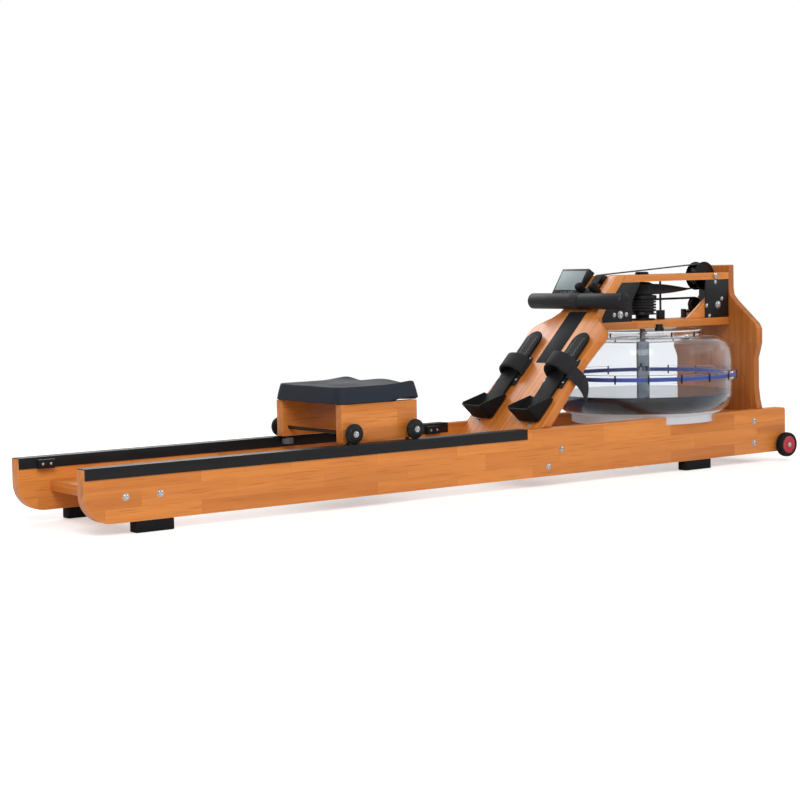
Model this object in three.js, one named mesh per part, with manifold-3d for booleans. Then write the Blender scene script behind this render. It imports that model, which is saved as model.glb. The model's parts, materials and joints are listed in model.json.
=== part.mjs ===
// A wooden water-resistance rowing machine: two long beams, a rolling seat, a sloping
// footboard with two footrests, a clear water tank with its paddle, the belt drive above
// it, a pull handle and a small console.
//
// Millimetres, +Z up. +X runs from the rear end of the beams towards the tank, and +Y is
// the rower's left. The origin lies on the floor, under the middle of the whole machine.

import * as THREE from "three";
import { mergeVertices } from "three/addons/utils/BufferGeometryUtils.js";
import Module from "manifold-3d";

const wasm = await Module();
wasm.setup();

// Driving dimensions
const fitGap = 0.3;
const cutOverrun = 6;

const beam = {
  length: 2080,
  height: 116,
  thickness: 30,
  rearRadius: 62,
  frontRadius: 8,
};
const frameWidth = 345;
const foot = { length: 92, width: 30, height: 25, cornerRadius: 4 };
const footPlaces = { rearX: 163, pastTankX: 30 };

const rail = { rearOffset: 2, footboardGap: 65, wall: 2, skirt: 22 };
const railStop = { length: 38, reach: 12, height: 20, drop: 3, rearInset: 61, frontInset: 53 };

const rearBoard = { middleX: 136, width: 120, thickness: 24, drop: 63 };

const slopeDegrees = 46.7;
const footboard = {
  tankGap: 107.85,
  thickness: 24,
  halfWidth: 150,
  tongue: 60,
  slotHalfWidth: 19,
  slotLength: 54,
};
const footboardBlock = { thickness: 54, rise: 15, length: 95 };

const panel = { endInset: 88, tankGap: 23, thickness: 20, halfWidth: 158, crown: 20, tongueRise: 15 };
const panelBlock = { thickness: 48, lowInset: 13, highInset: 7 };

const deckHalfWidth = 55;
const upperDeck = { thickness: 18 };
const lowerDeck = { thickness: 20, tankGap: 4 };
const deckSpacing = 102;
const gusset = { length: 138, thickness: 19 };

const plateThickness = 4;
const plateInset = 1;
const rearBracket = { topReach: 66, bottomReach: 130, webStart: 84 };
const frontBracket = { length: 86 };

const tank = {
  radius: 235,
  wall: 4,
  flangeWidth: 9,
  flangeThickness: 5,
  sealThickness: 10,
  sealInset: 1,
  sealRise: 119.5,
  seatDepth: 18.5,
  height: 238.5,
  lidRadius: 155,
  baseRadius: 189,
  waterDepth: 73.5,
  lowerBulgeHeight: 64,
  upperBulgeHeight: 56,
  lidStep: 15,
};
const tankSeatPlay = 3;
const tankSegments = 40;
const pivotBoss = { radius: 10, height: 12 };
const plug = { radius: 12, height: 16, shaftX: -35, shaftY: -100 };

const paddle = { radius: 115, play: 6, columnRadius: 17, bladeHeight: 52, bladeThickness: 3, blades: 6 };
const shaftRadius = 7;
const shaftPlay = 1.5;
const drum = {
  crownHeight: 4.5,
  flangeRadius: 38,
  cordRadius: 30.5,
  cordHeight: 39,
  flangeThickness: 3,
  strapRadius: 27,
  collarHeight: 10,
};
const lowerBearing = { radius: 34, neckRadius: 18, flangeThickness: 4, height: 14 };
const bearingCap = { radius: 18, height: 7 };

const strap = { width: 28, thickness: 2 };
const strapPulley = { panelGap: 53, drop: 8, radius: 38, grooveRadius: 31, width: 34 };
const pulleyAxle = { radius: 4, headRadius: 7, headHeight: 6 };
const guideRoller = { fromTop: 12.2, depth: -2, radius: 11, pinRadius: 4 };
const tieRod = { shaftX: 66, radius: 3, nutRadius: 12, nutHeight: 24 };

const cord = { diameter: 6, turns: 4, pitch: 7.4, sides: 6, stepsPerTurn: 24 };
const cordPulley = { panelGap: 41, radius: 20, grooveRadius: 15.5, width: 12, axleRadius: 5 };
const cordAnchor = { length: 8, width: 14, height: 16 };

const handle = { fromTop: 107, length: 358, gripRadius: 20.5, coreRadius: 11, capChamfer: 5 };
const peg = { fromTop: 61, spacing: 52, radius: 11, length: 35 };

const consoleBox = {
  fromTop: 72.2,
  pegGap: 1,
  width: 104,
  faceLength: 78,
  bottomThickness: 7.4,
  tiltDegrees: 10.9,
};
const screen = { margin: 6, length: 58, start: 13, thickness: 1 };
const button = { radius: 2.6, height: 3.2, proud: 1.5, travel: 1.2, spacing: 16, inset: 6, count: 3 };

const footrest = {
  middleY: 91,
  plateHalfWidth: 39.5,
  plateStart: 124,
  plateEnd: 215,
  plateThickness: 5,
};
const heelSlider = {
  start: 12,
  end: 298,
  tongueHalfWidth: 28,
  thickness: 6,
  cupHalfWidth: 41,
  cupLength: 74,
  cupHeight: 47,
  cupCorner: 11,
  cupWall: 4,
};
const footStrap = { start: 157, width: 48, thickness: 2.5, rightRise: 44, leftRise: 30 };
const strapTail = { width: 36, thickness: 2.5, reach: 78 };

const seat = {
  railEndGap: 408,
  boardLength: 212,
  boardThickness: 24,
  boardHeight: 86,
  outerHalfWidth: 137,
  clearance: 3,
};
const seatWheel = {
  radius: 23,
  width: 13,
  spacing: 172,
  chamfer: 1.5,
  domeRadius: 15,
  domeHeight: 3,
  boltRadius: 6,
  boltHeight: 4,
};
const seatAxleRadius = 4;
const sideRoller = { radius: 14, height: 13, pinRadius: 5, endDistance: 22 };
const cushion = { length: 232, width: 284, flare: 8, edgeHeight: 39, cornerRadius: 26, overhang: 3 };

const transportWheel = {
  radius: 32.5,
  width: 22,
  endInset: 10,
  rise: 17.5,
  hubRadius: 20,
  recess: 1.5,
  boltRadius: 6,
  chamfer: 3,
  standoff: 2,
};

// Derived places
const slope = THREE.MathUtils.degToRad(slopeDegrees);
const sinSlope = Math.sin(slope);
const cosSlope = Math.cos(slope);
const tanSlope = Math.tan(slope);
const outerHalf = frameWidth / 2;
const innerHalf = outerHalf - beam.thickness;
const beamMiddleY = outerHalf - beam.thickness / 2;
const beamBottom = foot.height;
const beamTop = beamBottom + beam.height;
const railTop = beamTop + fitGap + rail.wall;
const tankBottom = beamTop - tank.seatDepth;
const tankSeal = tankBottom + tank.sealRise;
const tankTop = tankBottom + tank.height;
const waterTop = tankBottom + tank.waterDepth;
const flangeRadius = tank.radius + tank.flangeWidth;
const panelRearX = beam.length - panel.endInset;
const panelFrontX = panelRearX + panel.thickness;
const deckEndX = panelRearX - fitGap;
const tankX = panelRearX - panel.tankGap - flangeRadius;
const lowerDeckBottom = tankTop + lowerDeck.tankGap;
const lowerDeckTop = lowerDeckBottom + lowerDeck.thickness;
const upperDeckBottom = lowerDeckTop + deckSpacing;
const upperDeckTop = upperDeckBottom + upperDeck.thickness;
const panelTop = upperDeckTop + panel.crown;
const footboardLength = (upperDeckTop - beamTop) / sinSlope;
const footboardRun = (tankSeal - beamTop) / tanSlope + footboard.thickness / sinSlope;
const footboardX = tankX - flangeRadius - footboard.tankGap - footboardRun;
const railEndX = footboardX - rail.footboardGap;
const seatMiddleX = railEndX - seat.railEndGap;
const deckGapLow = lowerDeckTop + fitGap;
const deckGapHigh = upperDeckBottom - fitGap;
const drumLow = deckGapLow + lowerBearing.height + fitGap;
const cordLow = drumLow + drum.flangeThickness;
const cordHigh = cordLow + drum.cordHeight;
const strapLow = cordHigh + drum.collarHeight + fitGap * 2;
const strapHigh = strapLow + strap.width + fitGap * 2;
const transportX = beam.length - transportWheel.endInset;
const transportZ = beamBottom + transportWheel.rise;
const wheelFrontX = transportX + transportWheel.radius;
const plugX = tankX + plug.shaftX;
const tieRodX = tankX + tieRod.shaftX;
const strapPulleyX = panelRearX - strapPulley.panelGap;
const strapPulleyZ = upperDeckTop - strapPulley.drop;
const cordPulleyX = panelRearX - cordPulley.panelGap;
const overallLength = Math.max(beam.length, wheelFrontX);

// X of the footboard's back plane at a height
function footboardBackX(z) {
  return footboardX + (z - beamTop) / tanSlope + footboard.thickness / sinSlope;
}

// Finishes
function finish(color, roughness, metalness, extra = {}) {
  return new THREE.MeshStandardMaterial({ color, roughness, metalness, ...extra });
}
const wood = finish(0xc8793a, 0.45, 0);
const blackPlastic = finish(0x1d1e20, 0.5, 0);
const blackSteel = finish(0x17181a, 0.45, 0.6);
const brightSteel = finish(0xc4c7ca, 0.25, 1);
const rubber = finish(0x141415, 0.8, 0);
const foam = finish(0x2a2d36, 0.75, 0);
const webbing = finish(0x1b1c1e, 0.85, 0);
const clearPlastic = finish(0xe6edf0, 0.05, 0, { transparent: true, opacity: 0.3 });
const waterFinish = finish(0x51606b, 0.05, 0, { transparent: true, opacity: 0.7 });
const blueSeal = finish(0x3c55a8, 0.4, 0);
const redHub = finish(0xa8182a, 0.4, 0);
const screenGlass = finish(0x8d9ba2, 0.15, 0);

// Geometry helpers

// Turns a geometry into a solid for joining and cutting
function solidOf(geometry) {
  const bare = geometry.clone();
  bare.deleteAttribute("normal");
  bare.deleteAttribute("uv");
  const merged = mergeVertices(bare);
  const index = merged.index.array;
  const points = merged.attributes.position.array;
  const corner = (i) => new THREE.Vector3(points[3 * i], points[3 * i + 1], points[3 * i + 2]);
  let volume = 0;
  for (let i = 0; i < index.length; i += 3) {
    const across = corner(index[i + 1]).cross(corner(index[i + 2]));
    volume += corner(index[i]).dot(across);
  }
  const triVerts = new Uint32Array(index);
  if (volume < 0) {
    for (let i = 0; i < triVerts.length; i += 3) {
      [triVerts[i + 1], triVerts[i + 2]] = [triVerts[i + 2], triVerts[i + 1]];
    }
  }
  return new wasm.Manifold(new wasm.Mesh({ numProp: 3, vertProperties: points, triVerts }));
}

// Turns a solid back into a geometry
function geometryOf(solid) {
  const mesh = solid.getMesh();
  const geometry = new THREE.BufferGeometry();
  geometry.setAttribute("position", new THREE.BufferAttribute(mesh.vertProperties, 3));
  geometry.setIndex(new THREE.BufferAttribute(mesh.triVerts, 1));
  geometry.computeVertexNormals();
  return geometry;
}

function join(...geometries) {
  return geometryOf(geometries.map(solidOf).reduce((all, one) => all.add(one)));
}

function cut(geometry, ...cutters) {
  return geometryOf(cutters.map(solidOf).reduce((left, one) => left.subtract(one), solidOf(geometry)));
}

// A box between two corners
function box(x0, x1, y0, y1, z0, z1) {
  const geometry = new THREE.BoxGeometry(x1 - x0, y1 - y0, z1 - z0);
  return geometry.translate((x0 + x1) / 2, (y0 + y1) / 2, (z0 + z1) / 2);
}

function shapeOf(points) {
  return new THREE.Shape(points.map(([x, y]) => new THREE.Vector2(x, y)));
}

function extruded(shape, depth, curveSegments = 6) {
  return new THREE.ExtrudeGeometry(shape, { depth, bevelEnabled: false, curveSegments });
}

// An outline in X and Z, carried across the machine from y0 to y1
function across(shape, y0, y1) {
  return extruded(shape, y1 - y0).rotateX(Math.PI / 2).translate(0, y1, 0);
}

// An outline in Y and Z, carried along the machine from x0 to x1
const lengthwise = new THREE.Matrix4().makeBasis(
  new THREE.Vector3(0, 1, 0),
  new THREE.Vector3(0, 0, 1),
  new THREE.Vector3(1, 0, 0),
);
function along(shape, x0, x1) {
  return extruded(shape, x1 - x0).applyMatrix4(lengthwise).translate(x0, 0, 0);
}

// An outline in X and Y, raised from z0 to z1
function raised(shape, z0, z1) {
  return extruded(shape, z1 - z0).translate(0, 0, z0);
}

// A profile of radius and height, turned about the upright axis
function turned(profile, segments = 24) {
  const points = profile.map(([r, z]) => new THREE.Vector2(r, z));
  return new THREE.LatheGeometry(points, segments).rotateX(Math.PI / 2);
}

// The same, turned about an axis across the machine, heights running towards +Y
function turnedAcross(profile, segments = 24) {
  return turned(profile, segments).rotateX(-Math.PI / 2);
}

function closedProfile(profile) {
  return [...profile, profile[0]];
}

// A solid cylinder across the machine
function pinAcross(radius, y0, y1, segments = 16) {
  return turnedAcross([[0, y0], [radius, y0], [radius, y1], [0, y1]], segments);
}

// Carries a section along frames of a place and two directions, with both ends closed
function sweep(frames, section) {
  const count = section.length;
  const points = [];
  frames.forEach(({ at, side, up }) => {
    section.forEach(([a, b]) => {
      const point = at.clone().addScaledVector(side, a).addScaledVector(up, b);
      points.push(point.x, point.y, point.z);
    });
  });
  const index = [];
  for (let i = 0; i + 1 < frames.length; i++) {
    for (let j = 0; j < count; j++) {
      const a = i * count + j;
      const b = i * count + ((j + 1) % count);
      index.push(a, b, b + count, a, b + count, a + count);
    }
  }
  const last = (frames.length - 1) * count;
  for (let j = 1; j + 1 < count; j++) {
    index.push(0, j + 1, j);
    index.push(last, last + j, last + j + 1);
  }
  const geometry = new THREE.BufferGeometry();
  geometry.setAttribute("position", new THREE.Float32BufferAttribute(points, 3));
  geometry.setIndex(index);
  return geometryOf(solidOf(geometry));
}

const machine = new THREE.Group();
machine.position.set(-overallLength / 2, 0, 0);

// Pieces that lie on the footboard are placed by their distance up its slope, their Y and
// their height above its front face.
const slopeFrame = new THREE.Group();
slopeFrame.position.set(footboardX, 0, beamTop);
slopeFrame.rotation.y = -slope;
machine.add(slopeFrame);

function add(name, geometry, material, parent = machine) {
  const mesh = new THREE.Mesh(geometry, material);
  mesh.name = name;
  parent.add(mesh);
  return mesh;
}

// The place in the machine's frame of a point on the footboard's slope
function onSlope(distance, y, lift) {
  return new THREE.Vector3(
    footboardX + distance * cosSlope - lift * sinSlope,
    y,
    beamTop + distance * sinSlope + lift * cosSlope,
  );
}
const slopeMatrix = new THREE.Matrix4()
  .makeTranslation(footboardX, 0, beamTop)
  .multiply(new THREE.Matrix4().makeRotationY(-slope));

const sides = [
  ["right", -1],
  ["left", 1],
];

// The two long beams, scooped out on top for the tank
function beamShape() {
  const shape = new THREE.Shape();
  const { length, rearRadius, frontRadius } = beam;
  shape.moveTo(0, beamTop);
  shape.lineTo(0, beamBottom + rearRadius);
  shape.absarc(rearRadius, beamBottom + rearRadius, rearRadius, Math.PI, 1.5 * Math.PI, false);
  shape.lineTo(length - frontRadius, beamBottom);
  shape.absarc(length - frontRadius, beamBottom + frontRadius, frontRadius, 1.5 * Math.PI, 2 * Math.PI, false);
  shape.lineTo(length, beamTop - frontRadius);
  shape.absarc(length - frontRadius, beamTop - frontRadius, frontRadius, 0, Math.PI / 2, false);
  return shape;
}

function tankSeatCutter() {
  const floor = tankBottom - fitGap;
  const rim = tank.baseRadius + tankSeatPlay;
  const profile = [
    [0, floor],
    [rim, floor],
    [rim, beamTop + cutOverrun],
    [0, beamTop + cutOverrun],
  ];
  return turned(profile, tankSegments * 1.5).translate(tankX, 0, 0);
}

sides.forEach(([side, sign]) => {
  const low = Math.min(sign * innerHalf, sign * outerHalf);
  const plain = across(beamShape(), low, low + beam.thickness);
  add(`${side}_beam`, cut(plain, tankSeatCutter()), wood);
});

// The rails: black caps over the beams, each with its two seat stops
function railGeometry(sign) {
  const outer = outerHalf + fitGap + rail.wall;
  const inner = innerHalf - fitGap - rail.wall;
  const low = beamTop - rail.skirt;
  const start = rail.rearOffset;
  const outline = [
    [inner, low],
    [inner + rail.wall, low],
    [inner + rail.wall, beamTop + fitGap],
    [outer - rail.wall, beamTop + fitGap],
    [outer - rail.wall, low],
    [outer, low],
    [outer, railTop],
    [inner, railTop],
  ];
  const cap = shapeOf(outline.map(([y, z]) => [sign * y, z]));
  const stopEdges = [sign * (inner - railStop.reach), sign * (inner + rail.wall / 2)];
  const stops = [start + railStop.rearInset, railEndX - railStop.frontInset].map((x) => {
    const top = beamTop - railStop.drop;
    return box(
      x - railStop.length / 2,
      x + railStop.length / 2,
      Math.min(...stopEdges),
      Math.max(...stopEdges),
      top - railStop.height,
      top,
    );
  });
  return join(along(cap, start, railEndX), ...stops);
}
add("left_rail", railGeometry(1), blackPlastic);
add("right_rail", railGeometry(-1), blackPlastic);

// Feet under the beams
const footShape = () => {
  const shape = new THREE.Shape();
  const halfLength = foot.length / 2;
  const halfWidth = foot.width / 2;
  const r = foot.cornerRadius;
  shape.moveTo(-halfLength + r, -halfWidth);
  shape.lineTo(halfLength - r, -halfWidth);
  shape.absarc(halfLength - r, -halfWidth + r, r, -Math.PI / 2, 0, false);
  shape.lineTo(halfLength, halfWidth - r);
  shape.absarc(halfLength - r, halfWidth - r, r, 0, Math.PI / 2, false);
  shape.lineTo(-halfLength + r, halfWidth);
  shape.absarc(-halfLength + r, halfWidth - r, r, Math.PI / 2, Math.PI, false);
  shape.lineTo(-halfLength, -halfWidth + r);
  shape.absarc(-halfLength + r, -halfWidth + r, r, Math.PI, 1.5 * Math.PI, false);
  return shape;
};
[
  ["rear", footPlaces.rearX],
  ["front", tankX + footPlaces.pastTankX],
].forEach(([end, x]) => {
  sides.forEach(([side, sign]) => {
    const solid = extruded(footShape(), foot.height - fitGap, 2);
    const geometry = solid.translate(x, sign * beamMiddleY, 0);
    add(`${side}_${end}_foot`, geometry, rubber);
  });
});

// Boards and blocks between the beams
const between = innerHalf - fitGap;
add(
  "rear_cross_board",
  box(
    rearBoard.middleX - rearBoard.width / 2,
    rearBoard.middleX + rearBoard.width / 2,
    -between,
    between,
    beamTop - rearBoard.drop - rearBoard.thickness / 2,
    beamTop - rearBoard.drop + rearBoard.thickness / 2,
  ),
  wood,
);
const blockBack = -footboard.thickness - fitGap;
add(
  "footboard_cross_block",
  box(
    footboardBlock.rise - footboardBlock.length,
    footboardBlock.rise,
    -between,
    between,
    blockBack - footboardBlock.thickness,
    blockBack,
  ),
  wood,
  slopeFrame,
);
add(
  "front_cross_block",
  box(deckEndX - panelBlock.thickness, deckEndX, -between, between, beamBottom + panelBlock.lowInset, beamTop - panelBlock.highInset),
  wood,
);

// The sloping footboard, forked at its top for the pull strap. Its outline is given as
// shares of its length and of its half width.
const footboardOutlineShares = [
  [0, 1],
  [0.191, 0.96],
  [0.434, 0.885],
  [0.53, 0.915],
  [0.593, 0.95],
  [0.631, 0.93],
  [0.659, 0.86],
  [0.708, 0.59],
  [0.747, 0.475],
  [0.805, 0.425],
  [0.922, 0.395],
  [1.06, 0.36],
];
function footboardGeometry() {
  const edge = footboardOutlineShares.map(([a, b]) => [a * footboardLength, b * footboard.halfWidth]);
  const rightEdge = edge.map(([s, y]) => [s, -y]);
  const start = -footboard.tongue;
  const outlineEnd = edge[edge.length - 1][0];
  const outline = [
    [start, -footboard.halfWidth],
    ...rightEdge,
    ...edge.reverse(),
    [start, footboard.halfWidth],
  ];
  const board = raised(shapeOf(outline), -footboard.thickness, 0).applyMatrix4(slopeMatrix);
  const slot = box(
    footboardLength - footboard.slotLength,
    outlineEnd + cutOverrun,
    -footboard.slotHalfWidth,
    footboard.slotHalfWidth,
    -footboard.thickness - cutOverrun,
    cutOverrun,
  ).applyMatrix4(slopeMatrix);
  const reach = outlineEnd + footboard.tongue;
  const farX = footboardX + reach;
  const nearX = footboardX - reach;
  const above = box(nearX, farX, -outerHalf, outerHalf, upperDeckTop, upperDeckTop + reach);
  const besideBeams = sides.map(([, sign]) => {
    const y = sign * between;
    const far = sign * (outerHalf + cutOverrun);
    return box(nearX, farX, Math.min(y, far), Math.max(y, far), beamTop + fitGap - reach, beamTop + fitGap);
  });
  return cut(board, slot, above, ...besideBeams);
}
add("footboard", footboardGeometry(), wood);

// The upright front panel, waisted like the footboard. Its upper outline is given as shares
// of its half width and of its height above the beams.
const panelOutlineShares = [
  [0.995, 0],
  [0.95, 0.06],
  [0.918, 0.15],
  [0.918, 0.35],
  [0.965, 0.41],
  [1, 0.46],
  [1, 0.555],
  [0.955, 0.59],
  [0.47, 0.75],
  [0.375, 0.79],
  [0.35, 0.84],
  [0.35, 1],
];
function panelShape() {
  const base = beamTop + fitGap;
  const half = panelOutlineShares.map(([a, b]) => [a * panel.halfWidth, base + b * (panelTop - base)]);
  return shapeOf([
    [-between, beamBottom + panel.tongueRise],
    [between, beamBottom + panel.tongueRise],
    [between, base],
    ...half,
    ...half.map(([y, z]) => [-y, z]).reverse(),
    [-between, base],
  ]);
}
add("front_panel", along(panelShape(), panelRearX, panelFrontX), wood);

// The two decks that carry the drive
function deckShape(bottom, top) {
  return shapeOf([
    [footboardBackX(bottom) + fitGap / sinSlope, bottom],
    [deckEndX, bottom],
    [deckEndX, top],
    [footboardBackX(top) + fitGap / sinSlope, top],
  ]);
}
const shaftHole = (z0, z1) => raised(new THREE.Shape().absarc(tankX, 0, shaftRadius + shaftPlay, 0, 2 * Math.PI, false), z0, z1);
const pulleySlotHalfLength = strapPulley.radius + strap.thickness * 2;
const pulleySlotHalfWidth = strapPulley.width / 2 + strap.thickness;
add(
  "upper_deck",
  cut(
    across(deckShape(upperDeckBottom, upperDeckTop), -deckHalfWidth, deckHalfWidth),
    shaftHole(upperDeckBottom - cutOverrun, upperDeckTop + cutOverrun),
    box(
      strapPulleyX - pulleySlotHalfLength,
      strapPulleyX + pulleySlotHalfLength,
      -pulleySlotHalfWidth,
      pulleySlotHalfWidth,
      upperDeckBottom - cutOverrun,
      upperDeckTop + cutOverrun,
    ),
    pinAcross(pulleyAxle.radius + fitGap, -deckHalfWidth - cutOverrun, deckHalfWidth + cutOverrun).translate(
      strapPulleyX,
      0,
      strapPulleyZ,
    ),
  ),
  wood,
);
add(
  "lower_deck",
  cut(
    across(deckShape(lowerDeckBottom, lowerDeckTop), -deckHalfWidth, deckHalfWidth),
    shaftHole(lowerDeckBottom - cutOverrun, lowerDeckTop + cutOverrun),
  ),
  wood,
);

// Black steel brackets between the decks, and the wooden gusset in the front one
const plateOuter = deckHalfWidth - plateInset;
const plateInner = plateOuter - plateThickness;
function bothPlates(shape) {
  return [across(shape, -plateOuter, -plateInner), across(shape, plateInner, plateOuter)];
}
const rearPlateBackX = (z) => footboardBackX(z) + fitGap / sinSlope;
const rearPlateShape = shapeOf([
  [rearPlateBackX(deckGapLow), deckGapLow],
  [rearPlateBackX(deckGapLow) + rearBracket.bottomReach, deckGapLow],
  [rearPlateBackX(deckGapLow) + rearBracket.bottomReach, (deckGapLow + deckGapHigh) / 2],
  [rearPlateBackX(deckGapHigh) + rearBracket.topReach, deckGapHigh],
  [rearPlateBackX(deckGapHigh), deckGapHigh],
]);
add(
  "rear_bracket",
  join(
    ...bothPlates(rearPlateShape),
    box(
      rearPlateBackX(deckGapLow) + rearBracket.webStart,
      rearPlateBackX(deckGapLow) + rearBracket.bottomReach,
      -plateOuter,
      plateOuter,
      deckGapLow,
      deckGapLow + plateThickness,
    ),
  ),
  blackSteel,
);

const cordRunY = drum.cordRadius + fitGap * 2 + cord.diameter / 2;
const cordTopZ = cordHigh - fitGap * 2 - cord.diameter / 2;
const cordPulleyZ = cordTopZ - cordPulley.grooveRadius - cord.diameter / 2 - fitGap;
const cordBottomZ = 2 * cordPulleyZ - cordTopZ;
const frontPlateStart = deckEndX - frontBracket.length;
const gussetInner = -plateInner + fitGap + gusset.thickness;
add(
  "front_bracket",
  join(
    raised(
      shapeOf([
        [frontPlateStart, -plateOuter],
        [deckEndX, -plateOuter],
        [deckEndX, plateOuter],
        [deckEndX - plateThickness, plateOuter],
        [deckEndX - plateThickness, -plateInner],
        [frontPlateStart, -plateInner],
      ]),
      deckGapLow,
      deckGapHigh,
    ),
    box(
      frontPlateStart,
      deckEndX,
      gussetInner + fitGap,
      cordRunY + cordAnchor.width / 2,
      deckGapLow,
      deckGapLow + plateThickness,
    ),
    box(
      frontPlateStart,
      frontPlateStart + cordAnchor.length,
      cordRunY - cordAnchor.width / 2,
      cordRunY + cordAnchor.width / 2,
      deckGapLow,
      cordBottomZ + cordAnchor.height / 2,
    ),
  ),
  blackSteel,
);

const gussetEndX = deckEndX - plateThickness - fitGap;
add(
  "gusset",
  across(
    shapeOf([
      [gussetEndX - gusset.length, deckGapLow],
      [gussetEndX, deckGapLow],
      [gussetEndX, deckGapHigh],
    ]),
    -plateInner + fitGap,
    gussetInner,
  ),
  wood,
);

// The tank: two clear shells clamped on a blue seal ring. Each row of these profiles is a
// radius and a height.
const sealLow = tankSeal - tank.sealThickness / 2;
const sealHigh = tankSeal + tank.sealThickness / 2;
const shellInner = tank.radius - tank.wall;
const lowerBulgeShares = [
  [0, 0],
  [0, 0.28],
  [0.5, 0.42],
  [0.86, 0.68],
  [1, 1],
];
const upperBulgeShares = [
  [1, 0],
  [0.95, 0.4],
  [0.85, 0.68],
  [0.6, 0.9],
  [0.38, 1],
];
const lowerBulgeTop = tankBottom + tank.wall + tank.lowerBulgeHeight;
const upperBulgeTop = tankTop - tank.lidStep;
const upperBulgeLow = upperBulgeTop - tank.upperBulgeHeight;
function lowerBulge(inset) {
  const base = tank.baseRadius - inset;
  const low = tankBottom + inset;
  return lowerBulgeShares.map(([a, b]) => [
    base + a * (tank.radius - inset - base),
    low + b * (lowerBulgeTop - low),
  ]);
}
function upperBulge(inset) {
  const high = upperBulgeTop - inset;
  return upperBulgeShares.map(([a, b]) => [
    tank.lidRadius - inset + a * (tank.radius - tank.lidRadius),
    upperBulgeLow + b * (high - upperBulgeLow),
  ]);
}
const bossTop = tankBottom + tank.wall + pivotBoss.height;
const flangeLow = sealLow - fitGap;
add(
  "tank_lower_shell",
  turned(
    [
      [0, tankBottom],
      ...lowerBulge(0),
      [tank.radius, flangeLow - tank.flangeThickness],
      [flangeRadius, flangeLow - tank.flangeThickness],
      [flangeRadius, flangeLow],
      [shellInner, flangeLow],
      ...lowerBulge(tank.wall).reverse(),
      [pivotBoss.radius, tankBottom + tank.wall],
      [pivotBoss.radius, bossTop],
      [0, bossTop],
    ],
    tankSegments,
  ).translate(tankX, 0, 0),
  clearPlastic,
);
const flangeHigh = sealHigh + fitGap;
add(
  "tank_upper_shell",
  turned(
    closedProfile([
      [shellInner, flangeHigh],
      [flangeRadius, flangeHigh],
      [flangeRadius, flangeHigh + tank.flangeThickness],
      [tank.radius, flangeHigh + tank.flangeThickness],
      ...upperBulge(0),
      [tank.lidRadius, upperBulgeTop],
      [tank.lidRadius, tankTop],
      [shaftRadius + shaftPlay, tankTop],
      [shaftRadius + shaftPlay, tankTop - tank.wall],
      [tank.lidRadius - tank.wall, tankTop - tank.wall],
      ...upperBulge(tank.wall).reverse(),
    ]),
    tankSegments,
  ).translate(tankX, 0, 0),
  clearPlastic,
);
add(
  "tank_seal_ring",
  turned(
    closedProfile([
      [shellInner, sealLow],
      [flangeRadius - tank.sealInset, sealLow],
      [flangeRadius - tank.sealInset, sealHigh],
      [shellInner, sealHigh],
    ]),
    tankSegments,
  ).translate(tankX, 0, 0),
  blueSeal,
);
const waterInset = tank.wall + fitGap * 2;
const waterInner = paddle.radius + paddle.play;
add(
  "water",
  turned(
    closedProfile([
      [waterInner, tankBottom + waterInset],
      ...lowerBulge(waterInset),
      [tank.radius - waterInset, waterTop],
      [waterInner, waterTop],
    ]),
    tankSegments,
  ).translate(tankX, 0, 0),
  waterFinish,
);
add(
  "filler_plug",
  turned([
    [0, tankTop + fitGap],
    [plug.radius, tankTop + fitGap],
    [plug.radius, tankTop + plug.height * 0.4],
    [plug.radius * 0.8, tankTop + plug.height * 0.5],
    [plug.radius * 0.8, tankTop + plug.height],
    [0, tankTop + plug.height],
  ]).translate(plugX, plug.shaftY, 0),
  blackPlastic,
);

// Shaft with its column and paddle blades
const shaftTop = upperDeckTop + bearingCap.height * 0.7;
const paddleLow = bossTop + fitGap;
function paddleGeometry() {
  const body = turned(
    [
      [0, paddleLow],
      [paddle.columnRadius, paddleLow],
      [paddle.columnRadius, upperBulgeTop - tank.wall],
      [shaftRadius, upperBulgeTop],
      [shaftRadius, shaftTop],
      [0, shaftTop],
    ],
    24,
  );
  const blades = Array.from({ length: paddle.blades }, (_, i) =>
    box(
      paddle.columnRadius / 2,
      paddle.radius,
      -paddle.bladeThickness / 2,
      paddle.bladeThickness / 2,
      paddleLow + fitGap,
      paddleLow + paddle.bladeHeight,
    ).rotateZ((i * 2 * Math.PI) / paddle.blades),
  );
  return join(body, ...blades).translate(tankX, 0, 0);
}
add("paddle_shaft", paddleGeometry(), clearPlastic);
add(
  "lower_bearing",
  turned(
    closedProfile([
      [shaftRadius + fitGap, deckGapLow],
      [lowerBearing.radius, deckGapLow],
      [lowerBearing.radius, deckGapLow + lowerBearing.flangeThickness],
      [lowerBearing.neckRadius, deckGapLow + lowerBearing.flangeThickness],
      [lowerBearing.neckRadius, drumLow - fitGap],
      [shaftRadius + fitGap, drumLow - fitGap],
    ]),
  ).translate(tankX, 0, 0),
  blackPlastic,
);
const capLow = upperDeckTop + fitGap;
add(
  "bearing_cap",
  turned([
    [shaftRadius + fitGap, capLow],
    [bearingCap.radius, capLow],
    [bearingCap.radius, capLow + bearingCap.height * 0.6],
    [bearingCap.radius * 0.8, capLow + bearingCap.height],
    [0, capLow + bearingCap.height],
    [0, shaftTop + fitGap],
    [shaftRadius + fitGap, shaftTop + fitGap],
    [shaftRadius + fitGap, capLow],
  ]).translate(tankX, 0, 0),
  blackPlastic,
);

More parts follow.
